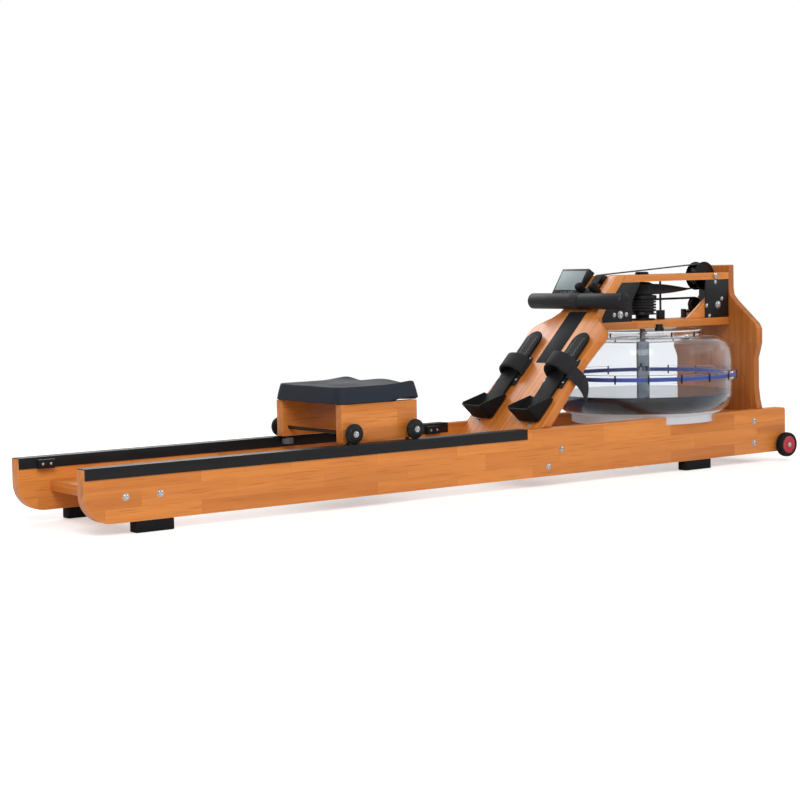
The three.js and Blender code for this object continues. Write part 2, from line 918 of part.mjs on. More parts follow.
// Drum: the cord winds on its lower part and the strap on its upper part
const strapZ = strapLow + strap.width / 2;
add(
  "drum",
  turned(
    closedProfile([
      [shaftRadius + fitGap, drumLow],
      [drum.flangeRadius, drumLow],
      [drum.flangeRadius, cordLow],
      [drum.cordRadius, cordLow],
      [drum.cordRadius, cordHigh],
      [drum.flangeRadius, cordHigh],
      [drum.flangeRadius, cordHigh + drum.collarHeight * 0.8],
      [drum.strapRadius, cordHigh + drum.collarHeight],
      [drum.strapRadius, strapHigh],
      [drum.strapRadius * 0.7, strapHigh + drum.crownHeight],
      [shaftRadius + fitGap, strapHigh + drum.crownHeight],
    ]),
  ).translate(tankX, 0, 0),
  blackPlastic,
);
add(
  "tie_rod",
  join(
    turned([
      [0, deckGapLow],
      [tieRod.nutRadius, deckGapLow],
      [tieRod.nutRadius, deckGapLow + tieRod.nutHeight],
      [0, deckGapLow + tieRod.nutHeight],
    ], 6),
    turned([
      [0, deckGapLow + tieRod.nutHeight / 2],
      [tieRod.radius, deckGapLow + tieRod.nutHeight / 2],
      [tieRod.radius, deckGapHigh],
      [0, deckGapHigh],
    ], 10),
  ).translate(tieRodX, 0, 0),
  blackSteel,
);

// Strap pulley, its axle through the upper deck, and the roller in the fork
const pulleyHalf = strapPulley.width / 2;
const flangeWidth = (strapPulley.width - strap.width) / 2 - fitGap * 2;
add(
  "strap_pulley",
  turnedAcross(
    closedProfile([
      [pulleyAxle.radius + fitGap, -pulleyHalf],
      [strapPulley.radius, -pulleyHalf],
      [strapPulley.radius, -pulleyHalf + flangeWidth],
      [strapPulley.grooveRadius, -pulleyHalf + flangeWidth],
      [strapPulley.grooveRadius, pulleyHalf - flangeWidth],
      [strapPulley.radius, pulleyHalf - flangeWidth],
      [strapPulley.radius, pulleyHalf],
      [pulleyAxle.radius + fitGap, pulleyHalf],
    ]),
    28,
  ).translate(strapPulleyX, 0, strapPulleyZ),
  blackPlastic,
);
const axleEnd = deckHalfWidth + fitGap;
add(
  "strap_pulley_axle",
  turnedAcross([
    [0, -axleEnd - pulleyAxle.headHeight],
    [pulleyAxle.headRadius, -axleEnd - pulleyAxle.headHeight],
    [pulleyAxle.headRadius, -axleEnd],
    [pulleyAxle.radius, -axleEnd],
    [pulleyAxle.radius, axleEnd],
    [pulleyAxle.headRadius, axleEnd],
    [pulleyAxle.headRadius, axleEnd + pulleyAxle.headHeight],
    [0, axleEnd + pulleyAxle.headHeight],
  ], 12).translate(strapPulleyX, 0, strapPulleyZ),
  brightSteel,
);
const rollerPlace = onSlope(footboardLength - guideRoller.fromTop, 0, guideRoller.depth);
const rollerHalf = strap.width / 2 + fitGap * 2;
const rollerEnd = footboard.slotHalfWidth - fitGap;
add(
  "guide_roller",
  turnedAcross([
    [0, -rollerEnd],
    [guideRoller.pinRadius, -rollerEnd],
    [guideRoller.pinRadius, -rollerHalf],
    [guideRoller.radius, -rollerHalf],
    [guideRoller.radius, rollerHalf],
    [guideRoller.pinRadius, rollerHalf],
    [guideRoller.pinRadius, rollerEnd],
    [0, rollerEnd],
  ], 20).translate(rollerPlace.x, 0, rollerPlace.z),
  blackPlastic,
);

// The pull strap, from the roller over the pulley, twisting to the drum and once round it
const handlePlace = onSlope(footboardLength - handle.fromTop, 0, handle.gripRadius + fitGap * 2);
const strapHalf = strap.thickness / 2;
const rollerLine = guideRoller.radius + fitGap + strapHalf;
const pulleyLine = strapPulley.grooveRadius + fitGap + strapHalf;
const alongY = new THREE.Vector3(0, 1, 0);

// A place at an angle on a circle in the X-Z plane, with the outward direction
function onCircle(centre, radius, angle) {
  const out = new THREE.Vector3(Math.cos(angle), 0, Math.sin(angle));
  return { at: centre.clone().addScaledVector(out, radius), side: alongY, up: out };
}
function arcFrames(centre, radius, from, to, steps) {
  return Array.from({ length: steps + 1 }, (_, i) => onCircle(centre, radius, from + ((to - from) * i) / steps));
}
const pulleyPlace = new THREE.Vector3(strapPulleyX, 0, strapPulleyZ);
const toPulley = pulleyPlace.clone().sub(rollerPlace);
const pulleyHeading = Math.atan2(toPulley.z, toPulley.x);
const topAngle = pulleyHeading + Math.acos((rollerLine - pulleyLine) / toPulley.length());
const toHandle = handlePlace.clone().sub(rollerPlace);
const handleHeading = Math.atan2(toHandle.z, toHandle.x);
const handleLine = handle.coreRadius;
const leadAngle = handleHeading + 2 * Math.PI - Math.acos((rollerLine + handleLine) / toHandle.length());
const drumLine = drum.strapRadius + fitGap + strapHalf;
const upright = new THREE.Vector3(0, 0, 1);
const drumPlace = new THREE.Vector3(tankX, 0, strapZ);

function strapFrames() {
  const roller = arcFrames(rollerPlace, rollerLine, leadAngle, topAngle, 6);
  const pulley = arcFrames(pulleyPlace, pulleyLine, topAngle, -Math.PI / 2, 14);
  const leave = pulley[pulley.length - 1].at;
  const start = leave.clone().setX(strapPulleyX - strapPulley.radius - fitGap);
  const end = new THREE.Vector3(tankX, -drumLine, strapZ);
  const twistSteps = 10;
  const twist = Array.from({ length: twistSteps }, (_, i) => {
    const share = i / twistSteps;
    const turn = (share * Math.PI) / 2;
    const side = new THREE.Vector3(0, Math.cos(turn), Math.sin(turn));
    const up = new THREE.Vector3(0, Math.sin(turn), -Math.cos(turn));
    return { at: start.clone().lerp(end, share), side, up };
  });
  const wrapSteps = 16;
  const wrapTurn = Math.PI * 1.8;
  const wrap = Array.from({ length: wrapSteps + 1 }, (_, i) => {
    const angle = -Math.PI / 2 - (wrapTurn * i) / wrapSteps;
    const out = new THREE.Vector3(Math.cos(angle), Math.sin(angle), 0);
    return { at: drumPlace.clone().addScaledVector(out, drumLine), side: upright, up: out.clone() };
  });
  return [...roller, ...pulley, ...twist, ...wrap];
}
function strapSection(width, thickness) {
  return [
    [-width / 2, -thickness / 2],
    [width / 2, -thickness / 2],
    [width / 2, thickness / 2],
    [-width / 2, thickness / 2],
  ];
}
add("pull_strap", sweep(strapFrames(), strapSection(strap.width, strap.thickness)), webbing);

// The strap's lead from the roller down to the handle
const leadStart = onCircle(rollerPlace, rollerLine, leadAngle);
const leadEnd = onCircle(handlePlace, -handleLine, leadAngle);
const leadWay = leadEnd.at.clone().sub(leadStart.at).normalize();
leadStart.at.addScaledVector(leadWay, fitGap);
const leadReach = Math.sqrt(handle.gripRadius ** 2 - (handleLine - strapHalf) ** 2) + fitGap;
leadEnd.at.addScaledVector(leadWay, -leadReach);
add("strap_lead", sweep([leadStart, leadEnd], strapSection(strap.width, strap.thickness)), webbing);

// Cord pulley on its axle, and the elastic cord that winds the drum back
const cordPulleyHalf = cordPulley.width / 2;
const cordAxleStart = gussetInner + fitGap;
const cordAxleEnd = cordRunY + cordPulleyHalf + cordPulley.axleRadius;
add(
  "cord_pulley",
  turnedAcross([
    [0, cordAxleStart],
    [cordPulley.axleRadius, cordAxleStart],
    [cordPulley.axleRadius, cordRunY - cordPulleyHalf],
    [cordPulley.radius, cordRunY - cordPulleyHalf],
    [cordPulley.grooveRadius, cordRunY - cord.diameter / 2 - fitGap],
    [cordPulley.grooveRadius, cordRunY + cord.diameter / 2 + fitGap],
    [cordPulley.radius, cordRunY + cordPulleyHalf],
    [cordPulley.axleRadius, cordRunY + cordPulleyHalf],
    [cordPulley.axleRadius, cordAxleEnd],
    [0, cordAxleEnd],
  ], 20).translate(cordPulleyX, 0, cordPulleyZ),
  blackPlastic,
);

function cordFrames() {
  const points = [];
  const steps = cord.turns * cord.stepsPerTurn;
  const bottom = cordTopZ - cord.turns * cord.pitch;
  for (let i = 0; i <= steps; i++) {
    const share = i / steps;
    const angle = Math.PI / 2 + 2 * Math.PI * cord.turns * (1 - share);
    const z = bottom + share * (cordTopZ - bottom);
    points.push(new THREE.Vector3(tankX + cordRunY * Math.cos(angle), cordRunY * Math.sin(angle), z));
  }
  const halfTurn = 10;
  for (let i = 0; i <= halfTurn; i++) {
    const angle = Math.PI / 2 - (Math.PI * i) / halfTurn;
    const radius = (cordTopZ - cordBottomZ) / 2;
    const x = cordPulleyX + radius * Math.cos(angle);
    points.push(new THREE.Vector3(x, cordRunY, cordPulleyZ + radius * Math.sin(angle)));
  }
  const anchorX = frontPlateStart + cordAnchor.length + fitGap;
  points.push(new THREE.Vector3(anchorX, cordRunY, cordBottomZ));
  return points.map((at, i) => {
    const before = points[Math.max(i - 1, 0)];
    const after = points[Math.min(i + 1, points.length - 1)];
    const way = after.clone().sub(before).normalize();
    const helixOut = new THREE.Vector3(at.x - tankX, at.y, 0).normalize();
    const pulleyOut = new THREE.Vector3(at.x - cordPulleyX, 0, at.z - cordPulleyZ).normalize();
    const guide = i <= steps ? helixOut : alongY;
    const side = i <= steps ? guide.addScaledVector(way, -guide.dot(way)).normalize() : alongY.clone();
    return { at, side, up: way.clone().cross(side), pulleyOut };
  });
}
const cordSection = Array.from({ length: cord.sides }, (_, i) => {
  const angle = (2 * Math.PI * i) / cord.sides;
  return [(cord.diameter / 2) * Math.cos(angle), (cord.diameter / 2) * Math.sin(angle)];
});
const cordLine = cordFrames();
add("return_cord", sweep(cordLine, cordSection), rubber);

// Least gap between turns of the winding, measured between its points
function leastTurnGap(frames, apart) {
  let least = Infinity;
  frames.forEach((a, i) => {
    frames.slice(i + apart).forEach((b) => {
      least = Math.min(least, a.at.distanceTo(b.at));
    });
  });
  return least - cord.diameter;
}
console.log("least gap between cord turns, mm:", leastTurnGap(cordLine, cord.stepsPerTurn / 2).toFixed(2));

// Handle: a steel core in two foam grips that meet in the middle
const gripHalf = handle.length / 2;
add(
  "handle_core",
  pinAcross(handle.coreRadius, -gripHalf + handle.capChamfer, gripHalf - handle.capChamfer).translate(
    handlePlace.x,
    0,
    handlePlace.z,
  ),
  brightSteel,
);
sides.forEach(([side, sign]) => {
  const inner = fitGap / 2;
  const bore = handle.coreRadius + fitGap;
  const profile = closedProfile([
    [bore, inner],
    [handle.gripRadius, inner],
    [handle.gripRadius, gripHalf - handle.capChamfer],
    [handle.gripRadius - handle.capChamfer, gripHalf],
    [0, gripHalf],
    [0, gripHalf - handle.capChamfer + fitGap],
    [bore, gripHalf - handle.capChamfer + fitGap],
  ]);
  const grip = turnedAcross(profile, 24);
  if (sign < 0) grip.rotateZ(Math.PI);
  add(`${side}_grip`, grip.translate(handlePlace.x, 0, handlePlace.z), foam);
});

// Rubber-tipped pegs that stop the handle
sides.forEach(([side, sign]) => {
  const profile = [
    [0, fitGap],
    [peg.radius, fitGap],
    [peg.radius, peg.length * 0.85],
    [peg.radius * 0.7, peg.length * 0.97],
    [0, peg.length],
  ];
  add(`${side}_handle_peg`, turned(profile, 16).translate(footboardLength - peg.fromTop, (sign * peg.spacing) / 2, 0), rubber, slopeFrame);
});

// Console: a wedge on the footboard's upper left, with its screen and buttons
const consoleTilt = THREE.MathUtils.degToRad(consoleBox.tiltDegrees);
const consoleFrame = new THREE.Group();
const consoleLift = consoleBox.bottomThickness * Math.cos(consoleTilt) + fitGap;
consoleFrame.position.set(footboardLength - consoleBox.fromTop, 0, consoleLift);
consoleFrame.rotation.y = -consoleTilt;
slopeFrame.add(consoleFrame);
const consoleNear = peg.spacing / 2 + peg.radius + consoleBox.pegGap;
const consoleFar = consoleNear + consoleBox.width;
const topThickness = consoleBox.bottomThickness + consoleBox.faceLength * Math.tan(consoleTilt);
const buttonPlaces = Array.from({ length: button.count }, (_, i) => [
  button.inset,
  consoleNear + consoleBox.width / 2 + (i - (button.count - 1) / 2) * button.spacing,
]);
add(
  "console_housing",
  cut(
    across(
      shapeOf([
        [0, -consoleBox.bottomThickness],
        [consoleBox.faceLength, -topThickness],
        [consoleBox.faceLength, 0],
        [0, 0],
      ]),
      consoleNear,
      consoleFar,
    ),
    ...buttonPlaces.map(([x, y]) =>
      turned([
        [0, button.proud - button.height - button.travel - fitGap],
        [button.radius + fitGap, button.proud - button.height - button.travel - fitGap],
        [button.radius + fitGap, cutOverrun],
        [0, cutOverrun],
      ], 12).translate(x, y, 0),
    ),
  ),
  blackPlastic,
  consoleFrame,
);
add(
  "console_screen",
  box(
    screen.start,
    screen.start + screen.length,
    consoleNear + screen.margin,
    consoleFar - screen.margin,
    fitGap,
    fitGap + screen.thickness,
  ),
  screenGlass,
  consoleFrame,
);
buttonPlaces.forEach(([x, y], i) => {
  const profile = [
    [0, button.proud - button.height],
    [button.radius, button.proud - button.height],
    [button.radius, button.proud],
    [0, button.proud],
  ];
  add(`console_button_${i + 1}`, turned(profile, 12).translate(x, y, 0), blackPlastic, consoleFrame);
});

// Footrests: a fixed plate, a sliding heel rest and a strap on each side
const plateTop = fitGap + footrest.plateThickness;
const sliderLow = plateTop + fitGap;

function heelSliderGeometry() {
  const { start, end, tongueHalfWidth, thickness, cupHalfWidth, cupLength, cupHeight, cupCorner, cupWall } = heelSlider;
  const tongue = new THREE.Shape();
  tongue.moveTo(start + cupLength / 2, -tongueHalfWidth);
  tongue.lineTo(end - tongueHalfWidth, -tongueHalfWidth);
  tongue.absarc(end - tongueHalfWidth, 0, tongueHalfWidth, -Math.PI / 2, Math.PI / 2, false);
  tongue.lineTo(start + cupLength / 2, tongueHalfWidth);
  const cupOutline = (inset, overrun) => {
    const half = cupHalfWidth - inset;
    const shape = new THREE.Shape();
    const corner = cupCorner - inset;
    const bend = start + cupCorner;
    shape.moveTo(start + cupLength + overrun, -half);
    shape.lineTo(start + cupLength + overrun, half);
    shape.absarc(bend, half - corner, corner, Math.PI / 2, Math.PI, false);
    shape.absarc(bend, corner - half, corner, Math.PI, 1.5 * Math.PI, false);
    return shape;
  };
  const top = sliderLow + cupHeight;
  const wedge = across(
    shapeOf([
      [start + cupCorner, top + cutOverrun],
      [start + cupCorner, top],
      [start + cupLength, sliderLow + thickness * 1.6],
      [start + cupLength + cutOverrun, sliderLow + thickness * 1.6],
      [start + cupLength + cutOverrun, top + cutOverrun],
    ]),
    -cupHalfWidth - cutOverrun,
    cupHalfWidth + cutOverrun,
  );
  return cut(
    join(raised(tongue, sliderLow, sliderLow + thickness), raised(cupOutline(0, 0), sliderLow, top)),
    raised(cupOutline(cupWall, cutOverrun), sliderLow + thickness, top + cutOverrun),
    wedge,
  );
}

// The strap's arch over the foot, from one edge of the plate to the other
function archGeometry(rise) {
  const inner = footrest.plateHalfWidth + fitGap * 3;
  const outer = inner + footStrap.thickness;
  const shape = new THREE.Shape();
  shape.moveTo(outer, 0);
  shape.absellipse(0, 0, outer, rise + footStrap.thickness, 0, Math.PI, false);
  shape.lineTo(-inner, 0);
  shape.absellipse(0, 0, inner, rise, Math.PI, 0, true);
  const geometry = extruded(shape, footStrap.width, 10).applyMatrix4(lengthwise);
  return geometry.translate(footStrap.start, 0, fitGap);
}

// The loose end of the right strap, hanging over the edge of the footboard. Each row is a
// distance up the slope, a reach out from the arch and a height over the front face, as
// shares of the tail's reach, and the tail's turn from the slope as a share of a half turn.
const tailRouteShares = [
  [0, 0, 0.14, 0],
  [0, 0.08, 0.13, 0],
  [0, 0.14, 0.06, 0],
  [0, 0.18, -0.1, 0.01],
  [-0.01, 0.2, -0.3, 0.03],
  [-0.05, 0.21, -0.5, 0.07],
  [-0.12, 0.2, -0.68, 0.12],
  [-0.22, 0.19, -0.82, 0.16],
  [-0.33, 0.18, -0.92, 0.18],
];
function tailGeometry() {
  const edge = footrest.middleY + footrest.plateHalfWidth + fitGap * 3 + footStrap.thickness / 2;
  const points = tailRouteShares.map(
    ([s, y, lift]) =>
      new THREE.Vector3(s, -y, lift)
        .multiplyScalar(strapTail.reach)
        .add(new THREE.Vector3(footStrap.start + strapTail.width / 3, -edge, 0)),
  );
  const frames = points.map((at, i) => {
    const before = points[Math.max(i - 1, 0)];
    const after = points[Math.min(i + 1, points.length - 1)];
    const way = after.clone().sub(before).normalize();
    const turn = tailRouteShares[i][3] * Math.PI;
    const side = new THREE.Vector3(Math.cos(turn), 0, Math.sin(turn));
    return { at, side, up: side.clone().cross(way).normalize() };
  });
  return sweep(frames, strapSection(strapTail.width, strapTail.thickness));
}

sides.forEach(([side, sign]) => {
  const y = sign * footrest.middleY;
  const { plateStart, plateEnd, plateHalfWidth } = footrest;
  const plate = box(plateStart, plateEnd, -plateHalfWidth, plateHalfWidth, fitGap, plateTop);
  add(`${side}_footrest_plate`, plate.translate(0, y, 0), blackPlastic, slopeFrame);
  add(`${side}_heel_rest`, heelSliderGeometry().translate(0, y, 0), blackPlastic, slopeFrame);
  const arch = archGeometry(sign > 0 ? footStrap.leftRise : footStrap.rightRise).translate(0, y, 0);
  const strapGeometry = sign > 0 ? arch : join(arch, tailGeometry());
  add(`${side}_foot_strap`, strapGeometry, webbing, slopeFrame);
});

// Seat: two side boards on two wheelsets, two side rollers and a contoured cushion
const seatRearX = seatMiddleX - seat.boardLength / 2;
const seatFrontX = seatMiddleX + seat.boardLength / 2;
const wheelZ = railTop + fitGap + seatWheel.radius;
const seatBottom = railTop + seat.clearance;
const seatTop = seatBottom + seat.boardHeight;
const boardInner = seat.outerHalfWidth - seat.boardThickness;
const wheelInnerY = seat.outerHalfWidth + fitGap * 5;
const wheelOuterY = beamMiddleY + seatWheel.width / 2;
const wheelPlaces = [
  ["rear", seatMiddleX - seatWheel.spacing / 2],
  ["front", seatMiddleX + seatWheel.spacing / 2],
];
sides.forEach(([side, sign]) => {
  const low = Math.min(sign * boardInner, sign * seat.outerHalfWidth);
  const holes = wheelPlaces.map(([, x]) =>
    pinAcross(seatAxleRadius + fitGap, low - cutOverrun, low + seat.boardThickness + cutOverrun, 12).translate(
      x,
      0,
      wheelZ,
    ),
  );
  const board = box(seatRearX, seatFrontX, low, low + seat.boardThickness, seatBottom, seatTop);
  add(`${side}_seat_board`, cut(board, ...holes), wood);
});
wheelPlaces.forEach(([end, x]) => {
  const inner = beamMiddleY - seatWheel.width / 2;
  const half = [
    [seatAxleRadius, wheelInnerY],
    [seatAxleRadius * 2, wheelInnerY],
    [seatAxleRadius * 2, inner],
    [seatWheel.radius - seatWheel.chamfer, inner],
    [seatWheel.radius, inner + seatWheel.chamfer],
    [seatWheel.radius, wheelOuterY - seatWheel.domeHeight],
    [seatWheel.domeRadius, wheelOuterY],
    [seatWheel.boltRadius, wheelOuterY],
    [seatWheel.boltRadius, wheelOuterY + seatWheel.boltHeight],
    [0, wheelOuterY + seatWheel.boltHeight],
  ];
  const mirrored = half.map(([r, y]) => [r, -y]).reverse();
  const wheelset = turnedAcross([...mirrored, ...half], 20);
  add(`${end}_seat_wheels`, wheelset.translate(x, 0, wheelZ), rubber);
});
const rollerTop = beamTop - sideRoller.height * 0.1;
const sideRollerY = innerHalf - rail.wall - fitGap * 2 - sideRoller.radius;
[
  ["left_side_roller", seatRearX + sideRoller.endDistance, sideRollerY],
  ["right_side_roller", seatFrontX - sideRoller.endDistance, -sideRollerY],
].forEach(([name, x, y]) => {
  const profile = [
    [0, rollerTop - sideRoller.height],
    [sideRoller.radius, rollerTop - sideRoller.height],
    [sideRoller.radius, rollerTop],
    [sideRoller.pinRadius, rollerTop],
    [sideRoller.pinRadius, seatBottom - fitGap],
    [0, seatBottom - fitGap],
  ];
  add(name, turned(profile, 20).translate(x, y, 0), blackPlastic);
});

// The cushion's outline is a rounded rectangle; its top dips under the sitter and rises in
// waves along its front edge.
const topWaveShares = [0.028, -0.24, 0.3];
const dishShares = { depth: 0.15, x: -0.25, xSpread: 0.45, y: 0.42, ySpread: 0.28 };
function cushionHeight(x, y) {
  const u = x / (cushion.length / 2);
  const v = Math.abs(y) / (cushion.width / 2);
  const front = THREE.MathUtils.smoothstep(u, 0.1, 0.95);
  const [centre, dip, corner] = topWaveShares;
  const wave = (centre + dip * v ** 2 + corner * v ** 4) * cushion.width * 0.5;
  const alongDish = (u - dishShares.x) / dishShares.xSpread;
  const acrossDish = (v - dishShares.y) / dishShares.ySpread;
  const dish = Math.exp(-(alongDish ** 2) - acrossDish ** 2);
  return cushion.edgeHeight * (1 - dish * dishShares.depth) + front * wave;
}
function cushionOutline(count, inset) {
  const r = cushion.cornerRadius - Math.min(inset, cushion.cornerRadius / 2);
  const a = cushion.length / 2 - inset - r;
  const b = cushion.width / 2 - inset - r;
  const shape = new THREE.Shape();
  shape.moveTo(a + r, -b);
  shape.lineTo(a + r, b);
  shape.absarc(a, b, r, 0, Math.PI / 2, false);
  shape.lineTo(-a, b + r);
  shape.absarc(-a, b, r, Math.PI / 2, Math.PI, false);
  shape.lineTo(-a - r, -b);
  shape.absarc(-a, -b, r, Math.PI, 1.5 * Math.PI, false);
  shape.lineTo(a, -b - r);
  shape.absarc(a, -b, r, 1.5 * Math.PI, 2 * Math.PI, false);
  return shape.getSpacedPoints(count).slice(0, count);
}
function cushionGeometry() {
  const count = 44;
  const innerShares = [1, 0.86, 0.68, 0.48, 0.26];
  const rings = [cushionOutline(count, 0).map((p) => [p.x, p.y, 0])];
  const rim = cushionOutline(count, cushion.flare);
  rings.push(rim.map((p) => [p.x, p.y, cushionHeight(p.x, p.y) - cushion.flare * 0.3]));
  innerShares.forEach((share) => {
    const scale = share * (1 - cushion.flare / cushion.width);
    rings.push(rim.map((p) => [p.x * scale, p.y * scale, cushionHeight(p.x * scale, p.y * scale)]));
  });
  const points = rings.flat();
  const topCentre = points.length;
  points.push([0, 0, cushionHeight(0, 0)]);
  const bottomCentre = points.length;
  points.push([0, 0, 0]);
  const index = [];
  for (let i = 0; i + 1 < rings.length; i++) {
    for (let j = 0; j < count; j++) {
      const a = i * count + j;
      const b = i * count + ((j + 1) % count);
      index.push(a, b, b + count, a, b + count, a + count);
    }
  }
  const last = (rings.length - 1) * count;
  for (let j = 0; j < count; j++) {
    const next = (j + 1) % count;
    index.push(last + j, last + next, topCentre);
    index.push(next, j, bottomCentre);
  }
  const geometry = new THREE.BufferGeometry();
  geometry.setAttribute("position", new THREE.Float32BufferAttribute(points.flat(), 3));
  geometry.setIndex(index);
  return geometryOf(solidOf(geometry)).translate(seatMiddleX + cushion.overhang, 0, seatTop + fitGap);
}
add("seat_cushion", cushionGeometry(), foam);

// Transport wheels beside the front ends of the beams
sides.forEach(([side, sign]) => {
  const inner = outerHalf + fitGap;
  const start = inner + transportWheel.standoff;
  const outer = start + transportWheel.width;
  const profile = [
    [0, inner],
    [transportWheel.boltRadius, inner],
    [transportWheel.boltRadius, start],
    [transportWheel.radius - transportWheel.chamfer, start],
    [transportWheel.radius, start + transportWheel.chamfer],
    [transportWheel.radius, outer - transportWheel.chamfer],
    [transportWheel.radius - transportWheel.chamfer, outer],
    [transportWheel.hubRadius, outer],
    [transportWheel.hubRadius, outer - transportWheel.recess],
    [transportWheel.boltRadius, outer - transportWheel.recess],
    [transportWheel.boltRadius, outer + transportWheel.recess],
    [0, outer + transportWheel.recess],
  ];
  const wheel = turnedAcross(profile, 24);
  if (sign < 0) wheel.rotateZ(Math.PI);
  add(`${side}_transport_wheel`, wheel.translate(transportX, 0, transportZ), redHub);
});

export default machine;
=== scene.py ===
"""Dresses a wooden water rowing machine: timber, rails, seat, footrests, drive and tank."""

import json
import logging
import math
from collections.abc import Callable, Iterable, Sequence
from dataclasses import dataclass, field
from enum import Enum

import bpy
from mathutils import Matrix, Vector


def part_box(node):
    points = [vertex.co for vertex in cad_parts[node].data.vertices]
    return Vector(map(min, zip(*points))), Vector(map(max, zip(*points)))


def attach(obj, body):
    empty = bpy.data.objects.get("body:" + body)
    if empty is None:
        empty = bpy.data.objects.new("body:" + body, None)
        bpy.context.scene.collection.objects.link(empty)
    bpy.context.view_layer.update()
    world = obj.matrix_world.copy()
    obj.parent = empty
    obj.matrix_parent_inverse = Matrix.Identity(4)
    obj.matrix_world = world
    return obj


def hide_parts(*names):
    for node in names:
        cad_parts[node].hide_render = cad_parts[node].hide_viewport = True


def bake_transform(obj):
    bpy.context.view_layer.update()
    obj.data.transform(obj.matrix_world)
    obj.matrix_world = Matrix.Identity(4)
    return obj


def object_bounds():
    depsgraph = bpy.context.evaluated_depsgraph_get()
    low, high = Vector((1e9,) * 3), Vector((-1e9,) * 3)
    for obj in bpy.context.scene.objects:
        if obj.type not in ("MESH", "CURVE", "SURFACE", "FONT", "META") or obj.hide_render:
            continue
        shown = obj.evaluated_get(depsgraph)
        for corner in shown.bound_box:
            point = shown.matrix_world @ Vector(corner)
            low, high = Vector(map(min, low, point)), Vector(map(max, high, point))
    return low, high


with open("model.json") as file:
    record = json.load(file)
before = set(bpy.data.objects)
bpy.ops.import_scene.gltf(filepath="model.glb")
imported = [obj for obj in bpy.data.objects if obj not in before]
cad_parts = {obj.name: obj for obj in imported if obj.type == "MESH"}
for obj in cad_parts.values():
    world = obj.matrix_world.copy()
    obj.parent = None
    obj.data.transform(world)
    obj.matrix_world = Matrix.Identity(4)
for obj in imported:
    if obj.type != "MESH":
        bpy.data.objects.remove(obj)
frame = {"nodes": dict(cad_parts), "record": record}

CAD_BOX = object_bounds()
LOG = logging.getLogger("rowing_machine")
NODE_BODY = {node: body for body, nodes in frame["record"]["behaviour"]["bodies"].items() for node in nodes}
NODE_SLOT = {entry["node"]: entry["material_slot"] for entry in frame["record"]["subparts"]}
Point = tuple[float, float, float]
Colour = tuple[float, float, float]


def middle_of(node: str) -> Vector:
    """Gives the middle of a CAD node's box."""
    low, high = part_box(node)
    return (low + high) / 2


def face_y(node: str, way: float) -> float:
    """Gives a CAD node's face to the right (way -1) or to the left (way 1)."""
    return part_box(node)[0 if way < 0 else 1].y


SIDES = {"right": -1.0, "left": 1.0}
ORIGIN = (0.0, 0.0, 0.0)
LENGTHWISE, ACROSS, UP = Vector((1.0, 0.0, 0.0)), Vector((0.0, 1.0, 0.0)), Vector((0.0, 0.0, 1.0))
MERGE_DISTANCE = 0.00002
SLOPE = math.radians(46.7)
SLOPE_UP = Vector((math.cos(SLOPE), 0.0, math.sin(SLOPE)))
SLOPE_OUT = Vector((-math.sin(SLOPE), 0.0, math.cos(SLOPE)))
BOARD_THICKNESS = 0.024
BEAM_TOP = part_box("right_beam")[1].z


def slope_origin() -> Vector:
    """Finds where the footboard's front face meets the top of the beams.

    Returns:
        The point in the middle of the machine, on the front face of the footboard.
    """
    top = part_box("footboard")[1]
    back = Vector((top.x, 0.0, top.z))
    front = back + SLOPE_OUT * BOARD_THICKNESS
    run = (front.z - BEAM_TOP) / SLOPE_UP.z
    return front - SLOPE_UP * run


SLOPE_ORIGIN = slope_origin()


def on_slope(distance: float, side: float, lift: float) -> Vector:
    """Places a point on the footboard.

    Args:
        distance: Distance up the slope from the beams, in metres.
        side: Y, in metres.
        lift: Height over the front face, in metres.

    Returns:
        The point in the row frame.
    """
    return SLOPE_ORIGIN + SLOPE_UP * distance + Vector((0.0, side, 0.0)) + SLOPE_OUT * lift


def in_plane(point: Vector) -> Vector:
    """Moves a point sideways into the machine's upright middle plane."""
    return Vector((point.x, 0.0, point.z))


def on_circle(middle: Vector, radius: float, angle: float) -> Vector:
    """Gives a point on a circle round an axis that runs across the machine."""
    return Vector((middle.x + radius * math.cos(angle), middle.y, middle.z + radius * math.sin(angle)))


def round_drum(radius: float, angle: float, height: float) -> Vector:
    """Gives a point on a circle round the drum's upright axis."""
    return Vector((middle_of("paddle_shaft").x + radius * math.cos(angle), radius * math.sin(angle), height))


def sided(profile: Iterable[tuple[float, float]], way: float, start: float = 0.0) -> list[tuple[float, float]]:
    """Runs a profile's heights from a start to the right (way -1) or to the left (way 1)."""
    return [(radius, start + way * height) for radius, height in profile]


def toned(colour: Colour, share: float, lift: float = 0.0) -> Colour:
    """Makes a colour lighter or darker, up to white."""
    return tuple(min(1.0, value * share + lift) for value in colour)


def place_object(name: str, data: bpy.types.ID) -> bpy.types.Object:
    """Puts an object with the given data in the scene."""
    placed = bpy.data.objects.new(name, data)
    bpy.context.scene.collection.objects.link(placed)
    return placed


